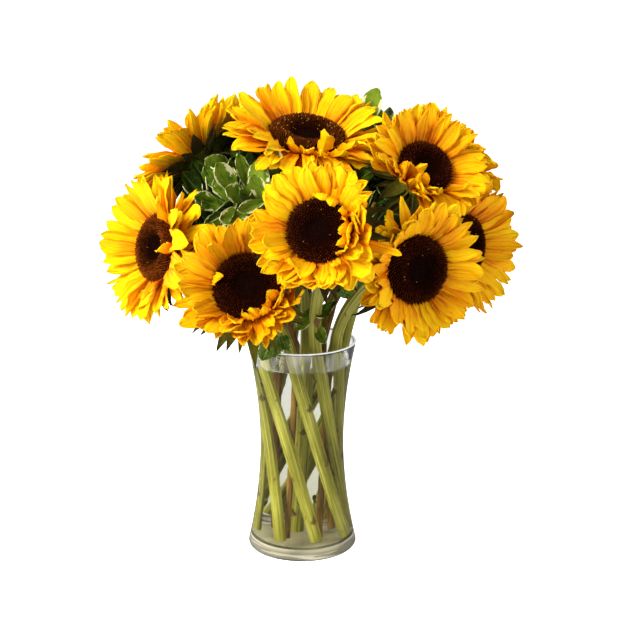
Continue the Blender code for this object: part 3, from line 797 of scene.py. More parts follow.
def copies(name, made, skin, slot, node, smooth=60):
    """Shows one mesh of many copies, each a form, the places of its points, and its marks by name."""
    points, faces, uv = [], [], []
    marks = {key: [] for key in made[0][2]}
    first = 0
    for form, places, own in made:
        points.append(places)
        faces.extend(tuple(i + first for i in face) for face in form.faces)
        uv.append(form.uv)
        first += len(places)
        for key, value in own.items():
            marks[key].append(np.full(len(places), value))
    mesh = bpy.data.meshes.new(name)
    mesh.from_pydata(np.concatenate(points), [], faces)
    layer = mesh.uv_layers.new(name="UVMap")
    layer.uv.foreach_set("vector", np.concatenate(uv).astype(np.float32).ravel())
    for key, values in marks.items():
        mark = mesh.attributes.new(key, "FLOAT", "POINT")
        mark.data.foreach_set("value", np.concatenate(values).astype(np.float32))
    obj = added(name, mesh)
    finished(obj, smooth, skin)
    shown(obj, slot, node)


def added(name, data):
    """A new object in the scene."""
    obj = bpy.data.objects.new(name, data)
    bpy.context.scene.collection.objects.link(obj)
    return obj


def finished(obj, smooth, *skins):
    """Smooths the shading across edges under an angle in degrees, and adds the materials."""
    obj.data.shade_smooth()
    obj.data.set_sharp_from_angle(angle=math.radians(smooth))
    for skin in skins:
        obj.data.materials.append(skin)


def shown(piece, slot, *nodes):
    """The piece rides on the one body and stands for its CAD nodes, which are hidden; slot is not used."""
    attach(piece, "root")
    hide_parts(*nodes)


# Places


def spot(place):
    """The point at a place given in millimetres."""
    return Vector(place) * MM


def around(bearing, radius, height=0.0):
    """The point at a bearing and a radius round the vase's axis, from millimetres."""
    turn = math.radians(bearing)
    return spot((radius * math.sin(turn), -radius * math.cos(turn), height))


def facing(bearing, rise):
    """The unit vector along a bearing and above the horizon."""
    up = math.radians(rise)
    turn = math.radians(bearing)
    return Vector((math.sin(turn) * math.cos(up), -math.cos(turn) * math.cos(up), math.sin(up)))


def frame_at(place, axis):
    """The matrix of a frame whose Z is axis and whose Y leans to the top."""
    turned = axis.to_track_quat("Z", "Y").to_matrix().to_4x4()
    return Matrix.Translation(place) @ turned


def blade_frame(place, way, across):
    """A frame whose Y runs along way and whose X lies across."""
    way, across = way.normalized(), across.normalized()
    turned = Matrix((across, way, across.cross(way))).transposed().to_4x4()
    return Matrix.Translation(place) @ turned


def clock_frame(frame, clock, radius=0.0, height=0.0):
    """A frame out from the middle of another, with its Y pointing out at a clock angle."""
    turned = Matrix.Rotation(-math.radians(clock), 4, "Z")
    return frame @ turned @ Matrix.Translation((0, radius, height))


def moved(points, frame):
    matrix = np.array(frame)
    return points @ matrix[:3, :3].T + matrix[:3, 3]


def straight(first, last, steps):
    """Evenly spaced points from the first, without the last."""
    return [first.lerp(last, i / steps) for i in range(steps)]


# Blades laid on their arcs

ARC_STEPS = 40
TIP_START = 0.6  # share of a blade's length where its tip begins
WAVES = 2.3  # along a blade's margin
LEFT_TO_RIGHT = 2.1  # radians between the waves of the two margins
HINGE = 0.12  # how far right of the middle a blade folds, beside its width


class Lay(NamedTuple):
    """How a copied blade lies, in millimetres and degrees: it roots at a point and arches over its plane."""

    length: float
    width: float
    lift: float
    curl: float
    twist: float = 0.0
    sway: float = 0.0  # how far the tip stands to one side
    cup: float = 0.0  # how far the margins stand forward of the middle
    wave: float = 0.0  # how far the margins wave
    phase: float = 0.0  # of the wave, in radians
    tip: float = 0.0  # how much more the last part curls
    fold: float = 0.0  # how far the right half folds forward


def drawn(draw, **ways):
    """Numbers by name, each drawn in turn from its (low, high) range."""
    return {name: draw.uniform(low, high) for name, (low, high) in ways.items()}


def arched(lay, share):
    """The blade's middle line at shares of its length, as angles and points."""
    steps = np.linspace(0, 1, ARC_STEPS + 1)
    bend = np.clip((steps - TIP_START) / (1 - TIP_START), 0, 1) ** 2
    angles = np.radians(lay.lift + lay.curl * steps + lay.tip * bend)
    middle = 0.5 * (angles[1:] + angles[:-1])
    step = lay.length * MM / ARC_STEPS
    out = np.concatenate([[0], np.cumsum(np.cos(middle))]) * step
    up = np.concatenate([[0], np.cumsum(np.sin(middle))]) * step
    line = [lay.sway * MM * share**2, np.interp(share, steps, out), np.interp(share, steps, up)]
    return np.interp(share, steps, angles), np.stack(line, 1)


def laid(form, lay, frame, **marks):
    """A copy of the form that is bent along the lay's arc and set in the frame, with its marks."""
    x, y, z = form.points.T
    share = np.clip(y / form.length, 0, 1)
    width = lay.width * MM
    x = x * width / form.width
    ripple = np.sin(TURN * WAVES * share + lay.phase + LEFT_TO_RIGHT * (x > 0))
    z = z + (lay.cup + lay.wave * ripple) * MM * (2 * x / width) ** 2 * np.clip(3 * share, 0, 1)
    past_hinge = np.clip(x - HINGE * width, 0, None)
    turn = math.radians(lay.fold) * np.clip(2 * share, 0, 1)
    x = x - past_hinge + past_hinge * np.cos(turn)
    z = z + past_hinge * np.sin(turn)
    angle, line = arched(lay, share)
    roll = math.radians(lay.twist) * share[:, None]
    front = np.stack([0 * angle, -np.sin(angle), np.cos(angle)], 1)
    right = np.array([1.0, 0.0, 0.0])
    across = np.cos(roll) * right + np.sin(roll) * front
    normal = np.cos(roll) * front - np.sin(roll) * right
    return form, moved(line + across * x[:, None] + normal * z[:, None], frame), marks


# Forms that are copied


def petal_outline(*halves):
    """An outline through half widths at the petal's rows."""
    return lambda share: np.interp(share, PETAL_ROWS, halves)


def bract_outline(share):
    """Broadest near the root, with a long point."""
    return 0.5 * (1 - share) ** 1.5 * (0.9 + 2.6 * share)


def small_leaf_outline(share):
    """A spoon with wavy edges: a narrow root and a broad blunt end."""
    spoon = 0.53 * (1 - share**4) ** 0.8 * (0.16 + math.sin(0.5 * math.pi * share))
    return spoon * (1 + 0.06 * math.cos(23 * share))


def broad_leaf_outline(share):
    """A heart-shaped sunflower leaf on a short stalk, with teeth."""
    tooth = 0.07 * math.cos(28 * math.pi * share)
    return (0.06 + 0.62 * math.sin(math.pi * min(1, share) ** 0.75) ** 0.8) * (1 + tooth)


PETAL_ROWS = (0, 0.14, 0.3, 0.46, 0.62, 0.76, 0.88, 0.96, 1)
BROAD = petal_outline(0.26, 0.38, 0.47, 0.5, 0.5, 0.48, 0.37, 0.19, 0)
RAGGED = petal_outline(0.26, 0.36, 0.47, 0.44, 0.5, 0.4, 0.36, 0.12, 0)
LEAN = petal_outline(0.22, 0.32, 0.41, 0.45, 0.42, 0.34, 0.21, 0.09, 0)
FURROWED = (-0.2, 0.8, -0.4, 0.5, -0.4, 0.8, -0.2)
UNEVEN = (0.5, 1.0, -0.4, 0.1, -0.7, 0.7, 0.2)
PETAL_KINDS = (  # name, ribs, outline and how far each step of the tip goes aside
    ("broad_petal", FURROWED, BROAD, 0.0),
    ("ragged_petal", UNEVEN, RAGGED, -0.9),
    ("hooked_petal", UNEVEN, BROAD, 1.3),
    ("lean_petal", UNEVEN, LEAN, -0.6),
    ("lean_hooked_petal", FURROWED, LEAN, 1.1),
)


def petal_forms():
    return [
        blade(name, PETAL_WIDTH, PETAL_LENGTH, PETAL_ROWS, ribs, outline, 0.5, aside)
        for name, ribs, outline, aside in PETAL_KINDS
    ]


def bract_form():
    rows, ribs = (0, 0.15, 0.32, 0.5, 0.68, 0.85, 1), (0.6, 0, -0.5, 0, 0.6)
    return blade("bract", SEPAL_WIDTH, SEPAL_LENGTH, rows, ribs, bract_outline, 0.7)


def small_leaf_form():
    rows, ribs = (0, 0.12, 0.28, 0.44, 0.6, 0.74, 0.86, 0.95, 1), (0.8, 0.6, -0.4, 0.6, 0.8)
    return blade("small_leaf", SMALL_LEAF_WIDTH, SMALL_LEAF_LENGTH, rows, ribs, small_leaf_outline, 0.6)


def broad_leaf_form():
    rows, ribs = [i / 28 for i in range(29)], (0.5, 0.8, 0.9, 0.6, -0.6, 0.6, 0.9, 0.8, 0.5)
    width = LEAF_BREADTH * LEAF_LENGTH
    return blade("broad_leaf", width, LEAF_LENGTH, rows, ribs, broad_leaf_outline, 0.6)


def floret_form():
    """One closed floret: a five-sided bud drawn in to a blunt point, 1 across and 1 high."""
    rise = 0.45
    bpy.ops.mesh.primitive_cone_add(
        vertices=5, radius1=0.42, radius2=0.5, depth=rise, location=(0, 0, 0.5 * rise)
    )
    obj = bpy.context.object
    bpy.ops.object.transform_apply(location=True)
    start(obj)
    choose(obj, lambda place: place.z > 0.4)
    bpy.ops.mesh.extrude_region_move(TRANSFORM_OT_translate={"value": (0, 0, 1 - rise)})
    bpy.ops.transform.resize(value=(0.25, 0.25, 1))
    close_edit()
    for i, loop in enumerate(obj.data.loops):
        obj.data.uv_layers.active.uv[i].vector = (0, obj.data.vertices[loop.vertex_index].co.z)
    return Form(obj)


# Petals

# The ranges that each rule draws its petals from, beside the numbers of their layer and bloom
RULED = dict(
    length=(0.92, 1.06), width=(0.88 * DRAWN_IN, 1.08 * DRAWN_IN), lift=(-5, 5), curl=(-16, 16),
    twist=(-16, 16), sway=(-3, 3),
)
FILLING = dict(
    length=(0.85, 1.03), width=(0.55, 0.9), lift=(-12, 6), curl=(-20, 20), twist=(-30, 30), sway=(-5, 5),
)
LOOSE = dict(cup=(-1.5, 3.0), wave=(0.5, 2.0), phase=(0, TURN), tip=(-40, 55))


def extra_lift(bloom, clock):
    """Degrees that a neighbour presses the petals forward at a clock angle."""
    for middle, half_span, lift in bloom.pressed:
        apart = abs((clock - middle + 180) % 360 - 180)
        if apart < half_span:
            return lift * math.cos(0.5 * math.pi * apart / half_span)
    return 0.0


def petal_lay(bloom, layer, clock, ways, draw, loose):
    """A petal's lay, drawn from its rule and pressed by the neighbours, with small ways of its own."""
    lay = Lay(**drawn(draw, **ways), **drawn(loose, **LOOSE), fold=loose.choice(FOLDS))
    extra = extra_lift(bloom, clock)
    return lay._replace(
        length=bloom.petal * layer.length * lay.length,
        width=bloom.full * PETAL_WIDTH * lay.width,
        lift=layer.lift + lay.lift + extra,
        curl=layer.curl + lay.curl + 0.7 * extra,
    )


def petal_rule(bloom):
    """Yields each petal's clock angle, root height and lay. The draws are the same as in the solids."""
    draw = random.Random(bloom.seed)
    loose = random.Random(bloom.seed + 500)
    for i in range(PETALS):
        layer = LAYERS[i % len(LAYERS)]
        clock = 360 * (i + draw.uniform(-0.3, 0.3)) / PETALS
        yield clock, layer.root_height, petal_lay(bloom, layer, clock, RULED, draw, loose)


def filler_rule(bloom):
    """Petals that show between those of the rule above."""
    draw = random.Random(bloom.seed + 300)
    for i in range(FILLER_PETALS):
        layer = LAYERS[draw.choice((0, 1, 1, 2, 2, 2))]
        clock = 360 * (i + draw.uniform(0, 0.8)) / FILLER_PETALS
        lay = petal_lay(bloom, layer, clock, FILLING, draw, draw)
        yield clock, layer.root_height - FILLER_SINK, lay


def curled_rule(bloom):
    """The single petals of the bloom's rows in CURLED."""
    draw = random.Random(bloom.seed + 1700)
    for clock, height, length, width, lift, curl, tip, twist, fold in CURLED.get(bloom.name, ()):
        ways = drawn(draw, cup=(0, 2), wave=(1.5, 3.0), phase=(0, 6))
        yield clock, height * MM, Lay(length, width, lift, curl, twist, tip=tip, fold=fold, **ways)


def build_corolla(bloom, frame, forms, skins):
    pick = random.Random(bloom.seed + 700)
    radius = bloom.disc * MM - PETAL_INSET
    petals = forms["petals"]
    made = []
    for clock, height, lay in (*petal_rule(bloom), *filler_rule(bloom), *curled_rule(bloom)):
        form = petals[pick.randrange(len(petals))]
        root = clock_frame(frame, clock, radius, height)
        made.append(laid(form, lay, root, tone=pick.random(), amber=bloom.amber))
    copies(bloom.name + "_corolla", made, skins["petal"], "petal", bloom.name + "_petals")


# Disc

DOME_STEPS = 12


def disc_height(share):
    """Height of the disc's face: a swollen outer belt and a dip in the middle."""
    return 7.5 * MM * math.exp(-(((share - 0.74) / 0.3) ** 2)) + 3.5 * MM * (1 - share**2)


def floret_frame(i, share, radius, spacing, draw):
    """A floret's place on the dome: it stands square to the face, more or less, and is turned at random."""
    slope = (disc_height(share + 0.01) - disc_height(share - 0.01)) / (0.02 * radius)
    tall = FLORET_LOW + FLORET_GROWS * max(0.0, min(1.0, (share - TIGHT_MIDDLE) / 0.3))
    lean = math.atan(slope) + draw.uniform(-0.25, 0.25)
    place = Matrix.Rotation(i * math.radians(GOLDEN_ANGLE), 4, "Z")
    place = place @ Matrix.Translation((share * radius, 0, disc_height(share) - FLORET_SINK))
    place = place @ Matrix.Rotation(-lean, 4, "Y") @ Matrix.Rotation(draw.uniform(0, 6.28), 4, "Z")
    wide = 1.05 * spacing
    return place @ Matrix.Diagonal((wide, wide, tall * draw.uniform(0.8, 1.2), 1))


def build_disc(bloom, frame, forms, skins):
    """The dome of the disc, and the florets over it in the sunflower's spiral."""
    radius = bloom.disc * MM
    shares = [i / DOME_STEPS for i in range(DOME_STEPS, -1, -1)]
    profile = [(0, 0), (radius, 0)] + [(radius * share, disc_height(share)) for share in shares]
    dome = turned_form("dome", profile, 48, frame, 0)
    made = [(dome, dome.points, {"tone": 0.2, "ring": 0.2, "pollen": 0, "rust": bloom.rust})]
    floret = forms["floret"]
    draw = random.Random(bloom.seed + 900)
    count = round(FLORETS * (bloom.disc / 29) ** 2)
    spacing = radius * math.sqrt(math.pi / count)
    for i in range(count):
        share = math.sqrt((i + 0.5) / count)
        place = frame @ floret_frame(i, share, radius, spacing, draw)
        dusty = draw.random() < bloom.pollen and share > TIGHT_MIDDLE
        marks = {"tone": draw.random(), "ring": share, "pollen": float(dusty), "rust": bloom.rust}
        made.append((floret, moved(floret.points, place), marks))
    copies(bloom.name + "_seed_head", made, skins["floret"], "disc", bloom.name + "_disc", 50)


# Stem


def hermite(start_at, start_way, end, end_way, share):
    a, b = share * share, share * share * share
    return (
        start_at * (2 * b - 3 * a + 1) + start_way * (b - 2 * a + share)
        + end * (3 * a - 2 * b) + end_way * (b - a)
    )


def stem_line(bloom, frame, steps, sweep_steps):
    """Points straight from the cut end to the rim, then in one smooth sweep that arrives along the axis."""
    foot = around(*bloom.foot)
    rim = around(*bloom.rim, VASE_HEIGHT / MM)
    neck = frame @ Vector((0, 0, -RING_WIDTH - RECEPTACLE_DEPTH + 1 * MM))
    reach = (neck - rim).length
    rise = (rim - foot).normalized() * reach
    arrival = (frame.to_3x3() @ Vector((0, 0, 1))) * reach
    sweep = [hermite(rim, rise, neck, arrival, i / sweep_steps) for i in range(1, sweep_steps + 1)]
    return [*straight(foot, rim, steps), rim, *sweep]


def ribbed_section(sides):
    """The outline of a ribbed stem, as a closed curve of radius 1."""
    curve = bpy.data.curves.new("section", "CURVE")
    spline = curve.splines.new("POLY")
    spline.points.add(sides - 1)
    for i, point in enumerate(spline.points):
        turn = TURN * i / sides
        radius = 1 - RIB_DEPTH * (0.5 - 0.5 * math.cos(STEM_RIBS * turn))
        point.co = (radius * math.cos(turn), radius * math.sin(turn), 0, 1)
    spline.use_cyclic_u = True
    return added("section", curve)


def tube(name, points, radii, section):
    """A closed stem along its points."""
    curve = bpy.data.curves.new(name, "CURVE")
    curve.dimensions = "3D"
    curve.bevel_mode = "OBJECT"
    curve.bevel_object = section
    curve.use_fill_caps = True
    spline = curve.splines.new("POLY")
    spline.points.add(len(points) - 1)
    for point, place, radius in zip(spline.points, points, radii):
        point.co = (*place, 1)
        point.radius = radius
    take(added(name, curve))
    bpy.ops.object.convert(target="MESH")
    obj = bpy.context.object
    start(obj)
    close_solid(0.01 * MM)
    return obj


def scar_rule(bloom, points):
    """Where leaves were stripped off the stalk: the point there, the way along the stalk and the side."""
    draw = random.Random(bloom.seed + 1100)
    for knot in sorted(draw.sample(range(4, 46, 3), SCARS)):
        along = (points[knot + 1] - points[knot]).normalized()
        side = Vector((draw.uniform(-1, 1), draw.uniform(-1, 0.3), 0))
        yield points[knot], along, (side - along * side.dot(along)).normalized()


def scar_at(away, along):
    """1 in the middle of a scar, falling to 0 sooner along the stalk than round it."""
    up = away.dot(along)
    return max(0.0, 1 - math.hypot(2.2 * up, (away - along * up).length) / (1.05 * STEM_RADIUS))


def build_stalk(bloom, frame, forms, skins):
    """The ribbed stem, a little swollen at its leaf scars, and its cut end."""
    points = stem_line(bloom, frame, STRAIGHT_STEPS, SWEEP_STEPS)
    scars = list(scar_rule(bloom, points))
    knots = [knot for knot, _, _ in scars]
    radii = [STEM_RADIUS * (SWOLLEN if point in knots else SLIM) for point in points]
    stalk = tube(bloom.name + "_stalk", points, radii, forms["section"])
    finished(stalk, 70, skins["stem"], skins["pith"])
    mark = stalk.data.attributes.new("scar", "FLOAT", "POINT")
    for vert in stalk.data.vertices:
        depths = [scar_at(vert.co - knot - side * STEM_RADIUS, along) for knot, along, side in scars]
        mark.data[vert.index].value = max(depths)
    for face in stalk.data.polygons:
        face.material_index = face.center.z < (bloom.foot[2] + 3) * MM and face.normal.z < -0.7
    shown(stalk, "stem", bloom.name + "_stem")


# Bracts and leaves

# The ranges that bracts are drawn from, with lengths and widths beside SEPAL_LENGTH and SEPAL_WIDTH
SEPAL = dict(length=(0.85, 1.1), lift=(-8, 2), curl=(-10, 14), twist=(-12, 12), sway=(-2, 2))
WHORLED = dict(
    length=(0.85, 1.2), width=(0.75, 1.0), lift=(-14, 2), curl=(-24, 20), twist=(-20, 20), sway=(-3, 3),
    tip=(-60, 20),
)


def bract_rule(bloom):
    """Yields each bract's clock angle, place from the stem to the edge and lay.

    The sepals of the solids' rule come first, then whorls behind them that hang under a bloom that looks
    to the side.
    """
    draw = random.Random(bloom.seed + 100)
    loose = random.Random(bloom.seed + 1300)
    long = bloom.bract * SEPAL_LENGTH
    for i in range(SEPALS):
        clock = 360 * (i + draw.uniform(-0.15, 0.15)) / SEPALS
        lay = Lay(width=SEPAL_WIDTH, cup=1, tip=loose.uniform(-30, 30), **drawn(draw, **SEPAL))
        yield clock, 1.0, lay._replace(length=long * lay.length)
    for share, count in WHORLS:
        for i in range(count):
            clock = 360 * (i + share + loose.uniform(-0.25, 0.25)) / count
            hang = max(0.0, -math.cos(math.radians(clock))) * math.cos(math.radians(bloom.rise))
            lay = Lay(cup=1.5, **drawn(loose, **WHORLED))
            yield clock, share, lay._replace(
                length=long * lay.length * (1 + 0.3 * hang), width=SEPAL_WIDTH * lay.width / bloom.bract,
                lift=lay.lift - 12 * (1 - share), tip=lay.tip - 60 * hang,
            )


def cup_form(edge, top, frame):
    """The green cup behind a bloom."""
    low = top - RECEPTACLE_DEPTH
    profile = [
        (0, top), (edge - 4 * MM, top), (edge - 2 * MM, top - 3 * MM), (0.7 * edge, top - 7 * MM),
        (1.3 * STEM_RADIUS + 2 * MM, low + 3 * MM), (1.25 * STEM_RADIUS, low), (0, low),
    ]
    return turned_form("cup", profile, 36, frame, 0.1)


def build_bracts(bloom, frame, forms, skins):
    """The cup with its bracts, and the stubs of stripped leaves down the stem."""
    edge = bloom.disc * MM + 1.5 * RING_WIDTH
    top = -RING_WIDTH - CUP_GAP
    cup, form = cup_form(edge, top, frame), forms["bract"]
    made = [(cup, cup.points, {"tone": 0.5})]
    draw = random.Random(bloom.seed + 1500)
    for clock, share, lay in bract_rule(bloom):
        depth = 1.8 * MM + 11 * MM * (1 - share)
        root = clock_frame(frame, clock, share * edge - 3 * MM, top - depth)
        # Partly painted shade: a bloom's bracts are shifted lighter and greener, and below 0 darker as in
        # shade.
        made.append(laid(form, lay, root, tone=draw.random() - bloom.fresh_and_painted_shade))
    points = stem_line(bloom, frame, STRAIGHT_STEPS, SWEEP_STEPS)
    for knot, along, side in scar_rule(bloom, points):
        stub = Lay(length=draw.uniform(5, 8), width=3.5, lift=5.7, curl=-17.2)
        root = blade_frame(knot + side * (0.93 * STEM_RADIUS), along + side * 0.25, along.cross(side))
        made.append(laid(form, stub, root, tone=-1.5))
    copies(bloom.name + "_bracts", made, skins["bract"], "stem", bloom.name + "_stem")


def build_leaves(bloom, frame, forms, skins):
    """The toothed leaves on the stem. Their draws go on after those of the sepals."""
    draw = random.Random(bloom.seed + 100)
    for _ in range(SEPALS * 6):
        draw.random()
    joints = stem_line(bloom, frame, 1, LEAF_JOINTS)
    made = []
    for joint, bearing, rise, length in bloom.leaves:
        way = facing(bearing, rise)
        root = blade_frame(joints[joint], way, way.cross(Vector((0, 0, 1))))
        ways = drawn(draw, twist=(-20, 20), sway=(-4, 4))
        lay = Lay(length, LEAF_BREADTH * length, lift=12, curl=-55, cup=-3, wave=1.5, **ways)
        made.append(laid(forms["broad_leaf"], lay, root, tone=0.5))
    if made:
        copies(bloom.name + "_leaf", made, skins["leaf"], "leaf", bloom.name + "_stem")


# Sprig


class Shoot(NamedTuple):
    """A straight shoot from a sprig's fork, and the way that its leaves look."""

    line: list
    along: Vector
    way: Vector


def shoot_to(fork, tip):
    along = (tip - fork).normalized()
    outward = Vector((tip.x, tip.y, 0)).normalized()
    return Shoot([*straight(fork, tip, 6), tip], along, (along + outward).normalized())


def on_shoot(shoot, back, clock, form, lay, tone):
    """A leaf that grows back from the shoot's tip."""
    place = frame_at(shoot.line[-1] - shoot.along * (back * MM), shoot.way)
    return laid(form, lay, clock_frame(place, clock), tone=tone)


def whorled_leaves(sprig, shoot, form, draw, loose):
    """Leaves round the end of a shoot, the first ones most upright. draw is the solids' rule."""
    for i in range(sprig.leaves):
        share = i / sprig.leaves
        clock = i * GOLDEN_ANGLE + draw.uniform(-11.46, 11.46)
        upright = 70 - 62 * share
        ways = drawn(
            draw, length=(0.8 * sprig.leaf, 1.1 * sprig.leaf), lift=(upright - 8, upright + 8),
            curl=(-30, -5), twist=(-15, 15),
        )
        ways |= drawn(loose, cup=(0.5, 2.5), wave=(0.3, 1.0), phase=(0, 6))
        lay = Lay(width=0.58 * sprig.leaf, **ways)
        yield on_shoot(shoot, 1 + 16 * share, clock, form, lay, loose.uniform(*sprig.tones_and_painted_shade))


def lower_leaves(sprig, shoot, form, loose):
    """Leaves further down a shoot."""
    long = sprig.grown * sprig.leaf
    for i in range(EXTRA_LEAVES):
        lay = Lay(**drawn(
            loose, length=(0.75 * long, 1.15 * long), width=(0.5 * long, 0.65 * long), lift=(5, 50),
            curl=(-40, 10), twist=(-30, 30), sway=(-3, 3), cup=(0.5, 2.5), wave=(0.3, 1.2), phase=(0, 6),
        ))
        back = 2 + 62 * i / EXTRA_LEAVES
        yield on_shoot(shoot, back, (i + 0.5) * GOLDEN_ANGLE, form, lay, loose.uniform(*sprig.tones_and_painted_shade))


def larger_leaf(root, tip, width, tone, form, loose):
    """A single leaf that arches from its root to its tip and shows its face to the front."""
    root, tip = spot(root), spot(tip)
    ways = drawn(loose, twist=(-22.9, 22.9), cup=(1, 3), wave=(0.6, 1.4), phase=(0, 6))
    lay = Lay(1.03 * (tip - root).length / MM, width, lift=-22, curl=46, **ways)
    across = (tip - root).cross(Vector((loose.uniform(-0.4, 0.4), -1, 0.3)))
    return laid(form, lay, blade_frame(root, tip - root, across), tone=tone)


def sprig_leaves(sprig, shoots, form):
    draw = random.Random(sprig.seed)
    loose = random.Random(sprig.seed + 500)
    made = []
    for shoot in shoots[: len(sprig.tips)]:
        made += whorled_leaves(sprig, shoot, form, draw, loose)
    for shoot in shoots:
        made += lower_leaves(sprig, shoot, form, loose)
    for row in sprig.broad:
        made.append(larger_leaf(*row, form, loose))
    return made


def build_sprig(sprig, forms, skins):
    """One twig that forks, with its leaves round the end of each shoot and on twigs of their own."""
    foot = around(*sprig.foot)
    rim = around(*sprig.rim, VASE_HEIGHT / MM)
    fork = spot(sprig.fork)
    shoots = [shoot_to(fork, spot(tip)) for tip in sprig.tips + sprig.more_tips]
    first, *others = [shoot.line for shoot in shoots]
    for root, *_ in sprig.broad:
        others.append([*straight(fork, spot(root), 6), spot(root)])
    main_line = straight(foot, rim, 10) + straight(rim, fork, 6) + first
    radii = [TWIG_RADIUS * (KNOTTED if i % 3 == 0 else THICK) for i in range(len(main_line))]
    twigs = [tube(sprig.name + "_twig", main_line, radii, forms["section"])]
    for line in others:
        twigs.append(tube("shoot", line, [THIN * TWIG_RADIUS] * len(line), forms["section"]))
    take(*twigs)
    bpy.ops.object.join()
    finished(twigs[0], 70, skins["bark"])
    shown(twigs[0], "stem", sprig.name)
    made = sprig_leaves(sprig, shoots, forms["small_leaf"])
    copies(sprig.name + "_leaves", made, skins["variegated"], "leaf", sprig.name)


# Vase and water

WALL_STEPS = 30
CORNER_STEPS = 8
FILLET_STEPS = 5
FLOOR_TOP = FLOOR + FLOOR_FILLET  # where the fillet inside the vase meets its wall


def outer_radius(height):
    """The vase's outside: a waist that flares to the rim and to the foot."""
    if height > WAIST_HEIGHT:
        share = (height - WAIST_HEIGHT) / (VASE_HEIGHT - WAIST_HEIGHT)
        return WAIST_RADIUS + RIM_FLARE * share**FLARE_POWER
    share = (WAIST_HEIGHT - height) / WAIST_HEIGHT
    return WAIST_RADIUS + FOOT_FLARE * share**FLARE_POWER


def thickness(height):
    """The wall's, which is drawn out thinner above the water."""
    share = (height - WATER_LEVEL) / (VASE_HEIGHT - WATER_LEVEL)
    return WALL + (LIP - WALL) * min(max(share, 0), 1)


def arc(centre, radius, first, last, steps):
    """(radius, height) points round a profile's corner, with angles in degrees."""
    turns = [math.radians(first + (last - first) * i / steps) for i in range(steps + 1)]
    return [(centre[0] + radius * math.cos(turn), centre[1] + radius * math.sin(turn)) for turn in turns]


def heights_between(first, last, steps):
    return [first + (last - first) * i / steps for i in range(steps + 1)]


def vase_profile():
    """Up the inside from the middle of the floor, over the lip and down the outside to the foot."""
    high = VASE_HEIGHT - 0.5 * LIP
    inside = [(outer_radius(h) - thickness(h), h) for h in heights_between(FLOOR_TOP, high, WALL_STEPS)]
    outside = [(outer_radius(h), h) for h in heights_between(high, HEEL, WALL_STEPS)]
    lip = arc((inside[-1][0] + 0.5 * LIP, high), 0.5 * LIP, 180, 0, CORNER_STEPS)
    heel = arc((outer_radius(HEEL) - HEEL, HEEL), HEEL, 0, -90, CORNER_STEPS)
    fillet = arc((inside[0][0] - FLOOR_FILLET, FLOOR_TOP), FLOOR_FILLET, -90, 0, FILLET_STEPS)
    floor = [(0, FLOOR), (0.5 * fillet[0][0], FLOOR)]
    underside = [(0.5 * heel[-1][0], 0), (0, 0)]
    return [*floor, *fillet, *inside[1:-1], *lip, *outside[1:-1], *heel, *underside]


def part_of_glass(place):
    """The number of the finish at a place, in the order of build_vase."""
    inside = math.hypot(place.x, place.y) < outer_radius(place.z) - 0.6 * WALL
    if place.z < 0.1 * MM:
        return 2
    if place.z > VASE_HEIGHT - 0.7 * LIP:
        return 3
    if place.z > WATER_LEVEL:
        return 4
    return int(inside and 0.9 * FLOOR < place.z)


def build_vase():
    """The vase, in clear glass, glass that touches the water, the underside, the lip and the neck."""
    vase = lathe("glass_vase", vase_profile(), LATHE_STEPS)
    finished(
        vase, 50,
        # The bands paint dark lines of shade at the heel, the top of the foot, the inner floor's corner and
        # under the lip.
        glass_finish("clear_glass", GLASS_IOR, ((-1 * MM, 1.6 * MM), (9.4 * MM, 8.8 * MM))),
        glass_finish("wet_glass", GLASS_IOR / WATER_IOR, ((10.6 * MM, 12.8 * MM),)),
        foot_finish(),
        lip_highlight_finish(),
        # The neck glows in painted patches of highlight.
        glass_finish("neck_glass", GLASS_IOR, ((202.4 * MM, 202.9 * MM),), 0.22),
    )
    for face in vase.data.polygons:
        face.material_index = part_of_glass(face.center)
    vase.visible_shadow = False
    shown(vase, "glass", "vase")


def build_water():
    """The water fills the vase a little way into its wall, with a meniscus at the top."""
    side = [
        (outer_radius(h) - WALL + WATER_IN_GLASS, h)
        for h in heights_between(WATER_LEVEL, FLOOR_TOP, 26)
    ]
    fillet = arc((side[-1][0] - FLOOR_FILLET, FLOOR_TOP), FLOOR_FILLET, 0, -90, FILLET_STEPS)
    bottom = [(radius, height - WATER_IN_GLASS) for radius, height in fillet]
    edge = side[0][0]
    top = [(0, WATER_LEVEL - 1 * MM), (edge - 5 * MM, WATER_LEVEL - 1 * MM)]
    meniscus = (edge - 2 * MM, WATER_LEVEL - 0.7 * MM)
    profile = [*top, meniscus, *side, *bottom[1:], (0, bottom[-1][1])]
    water = lathe("vase_water", profile, LATHE_STEPS)
    finished(water, 50, water_finish("still_water", WATER_IOR), water_finish("water_in_glass", 1.0))
    for face in water.data.polygons:
        face.material_index = face.normal.z < 0.5
    water.visible_shadow = False
    shown(water, "water", "water")


# Setting

SOFTBOXES = (  # name, place, width in metres, watts
    ("key_light", (-1.6, -1.2, 1.6), 1.2, 94),
    ("back_light", (-1.3, 1.4, 1.4), 1.2, 40),
    ("fill_light", (1.2, -1.6, 1.1), 1.4, 12),
    ("side_light", (1.8, 0.1, 0.7), 1.2, 12),
)
LIGHTS_AIM = Vector((0, 0, 0.25))
CAMERA_PLACE = (0.0173, -1.45, 0.615)
CAMERA_DIP = 15.1  # degrees below the horizon
CAMERA_LENS = 89.9  # millimetres


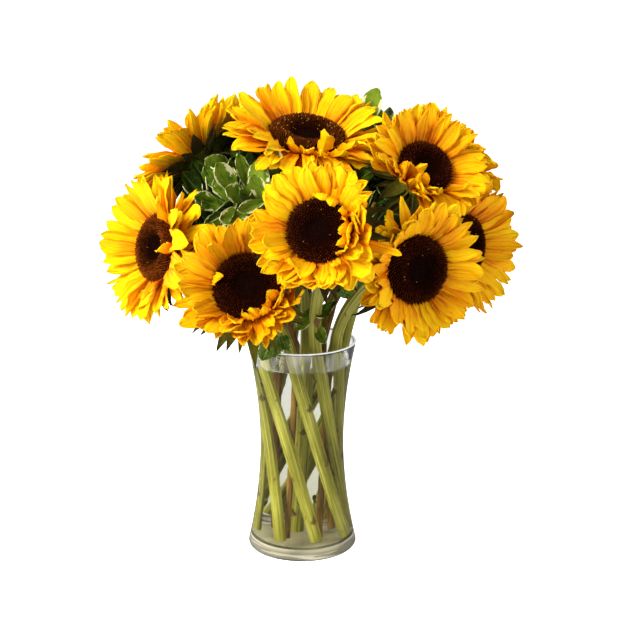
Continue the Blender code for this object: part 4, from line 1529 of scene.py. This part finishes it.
def build_floor():
    bpy.ops.mesh.primitive_plane_add(size=80, location=(0, 0, -0.5 * MM))
    ground = bpy.context.object
    ground.name = "floor"
    ground.data.materials.append(floor_finish())
    ground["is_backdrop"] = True


def light_world():
    """White where it is seen straight or through glass, softer as a light, and dim in reflections."""
    world = bpy.data.worlds.new("studio")
    bpy.context.scene.world = world
    world.use_nodes = True
    tree = world.node_tree
    back = tree.nodes["Background"]
    path = tree.nodes.new("ShaderNodeLightPath")
    strength = None
    for ray, level in (("Is Glossy Ray", DIM_WORLD), ("Is Transmission Ray", 1), ("Is Camera Ray", 1)):
        step = tree.nodes.new("ShaderNodeMix")
        tree.links.new(path.outputs[ray], step.inputs[0])
        step.inputs[2].default_value = SOFT_WORLD
        if strength:
            tree.links.new(strength, step.inputs[2])
        step.inputs[3].default_value = level
        strength = step.outputs[0]
    tree.links.new(strength, back.inputs["Strength"])
    back.inputs["Color"].default_value = (1, 1, 1, 1)


def build_softbox(name, place, size, power):
    light = bpy.data.lights.new(name, "AREA")
    light.energy = power
    light.shape = "SQUARE"
    light.size = size
    obj = added(name, light)
    obj.location = place
    aim = LIGHTS_AIM - Vector(place)
    obj.rotation_euler = aim.to_track_quat("-Z", "Y").to_euler()
    obj.visible_camera = False
    obj.visible_glossy = False


def build_camera():
    camera = bpy.data.cameras.new("camera")
    camera.lens = CAMERA_LENS
    camera.sensor_width = 36
    obj = added("camera", camera)
    obj.location = CAMERA_PLACE
    obj.rotation_euler = (math.radians(90 - CAMERA_DIP), 0, 0)
    bpy.context.scene.camera = obj


def build_bloom(bloom, forms, skins):
    frame = frame_at(spot(bloom.head), facing(bloom.bearing, bloom.rise))
    for build in (build_corolla, build_disc, build_stalk, build_bracts, build_leaves):
        build(bloom, frame, forms, skins)


def main():
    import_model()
    cad_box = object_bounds()
    bpy.ops.object.select_all(action="DESELECT")
    build_camera()
    build_floor()
    light_world()
    for softbox in SOFTBOXES:
        build_softbox(*softbox)
    bpy.context.scene.view_settings.view_transform = "Standard"
    skins = {
        "petal": petal_finish(), "floret": floret_finish(), "stem": stem_finish(),
        "pith": pith_finish(), "bract": bract_finish(), "leaf": leaf_finish(),
        "variegated": variegated_finish(), "bark": bark_finish(),
    }
    build_vase()
    build_water()
    forms = {
        "petals": petal_forms(), "floret": floret_form(), "bract": bract_form(),
        "broad_leaf": broad_leaf_form(), "small_leaf": small_leaf_form(),
        "section": ribbed_section(4 * STEM_RIBS),
    }
    for bloom in BLOOMS:
        build_bloom(bloom, forms, skins)
    for sprig in SPRIGS:
        build_sprig(sprig, forms, skins)
    bpy.data.objects.remove(forms["section"])
    look_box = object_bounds()
    sizes = {"cad": cad_box, "visual": look_box}
    {key: [list(corner) for corner in box] for key, box in sizes.items()}


main()
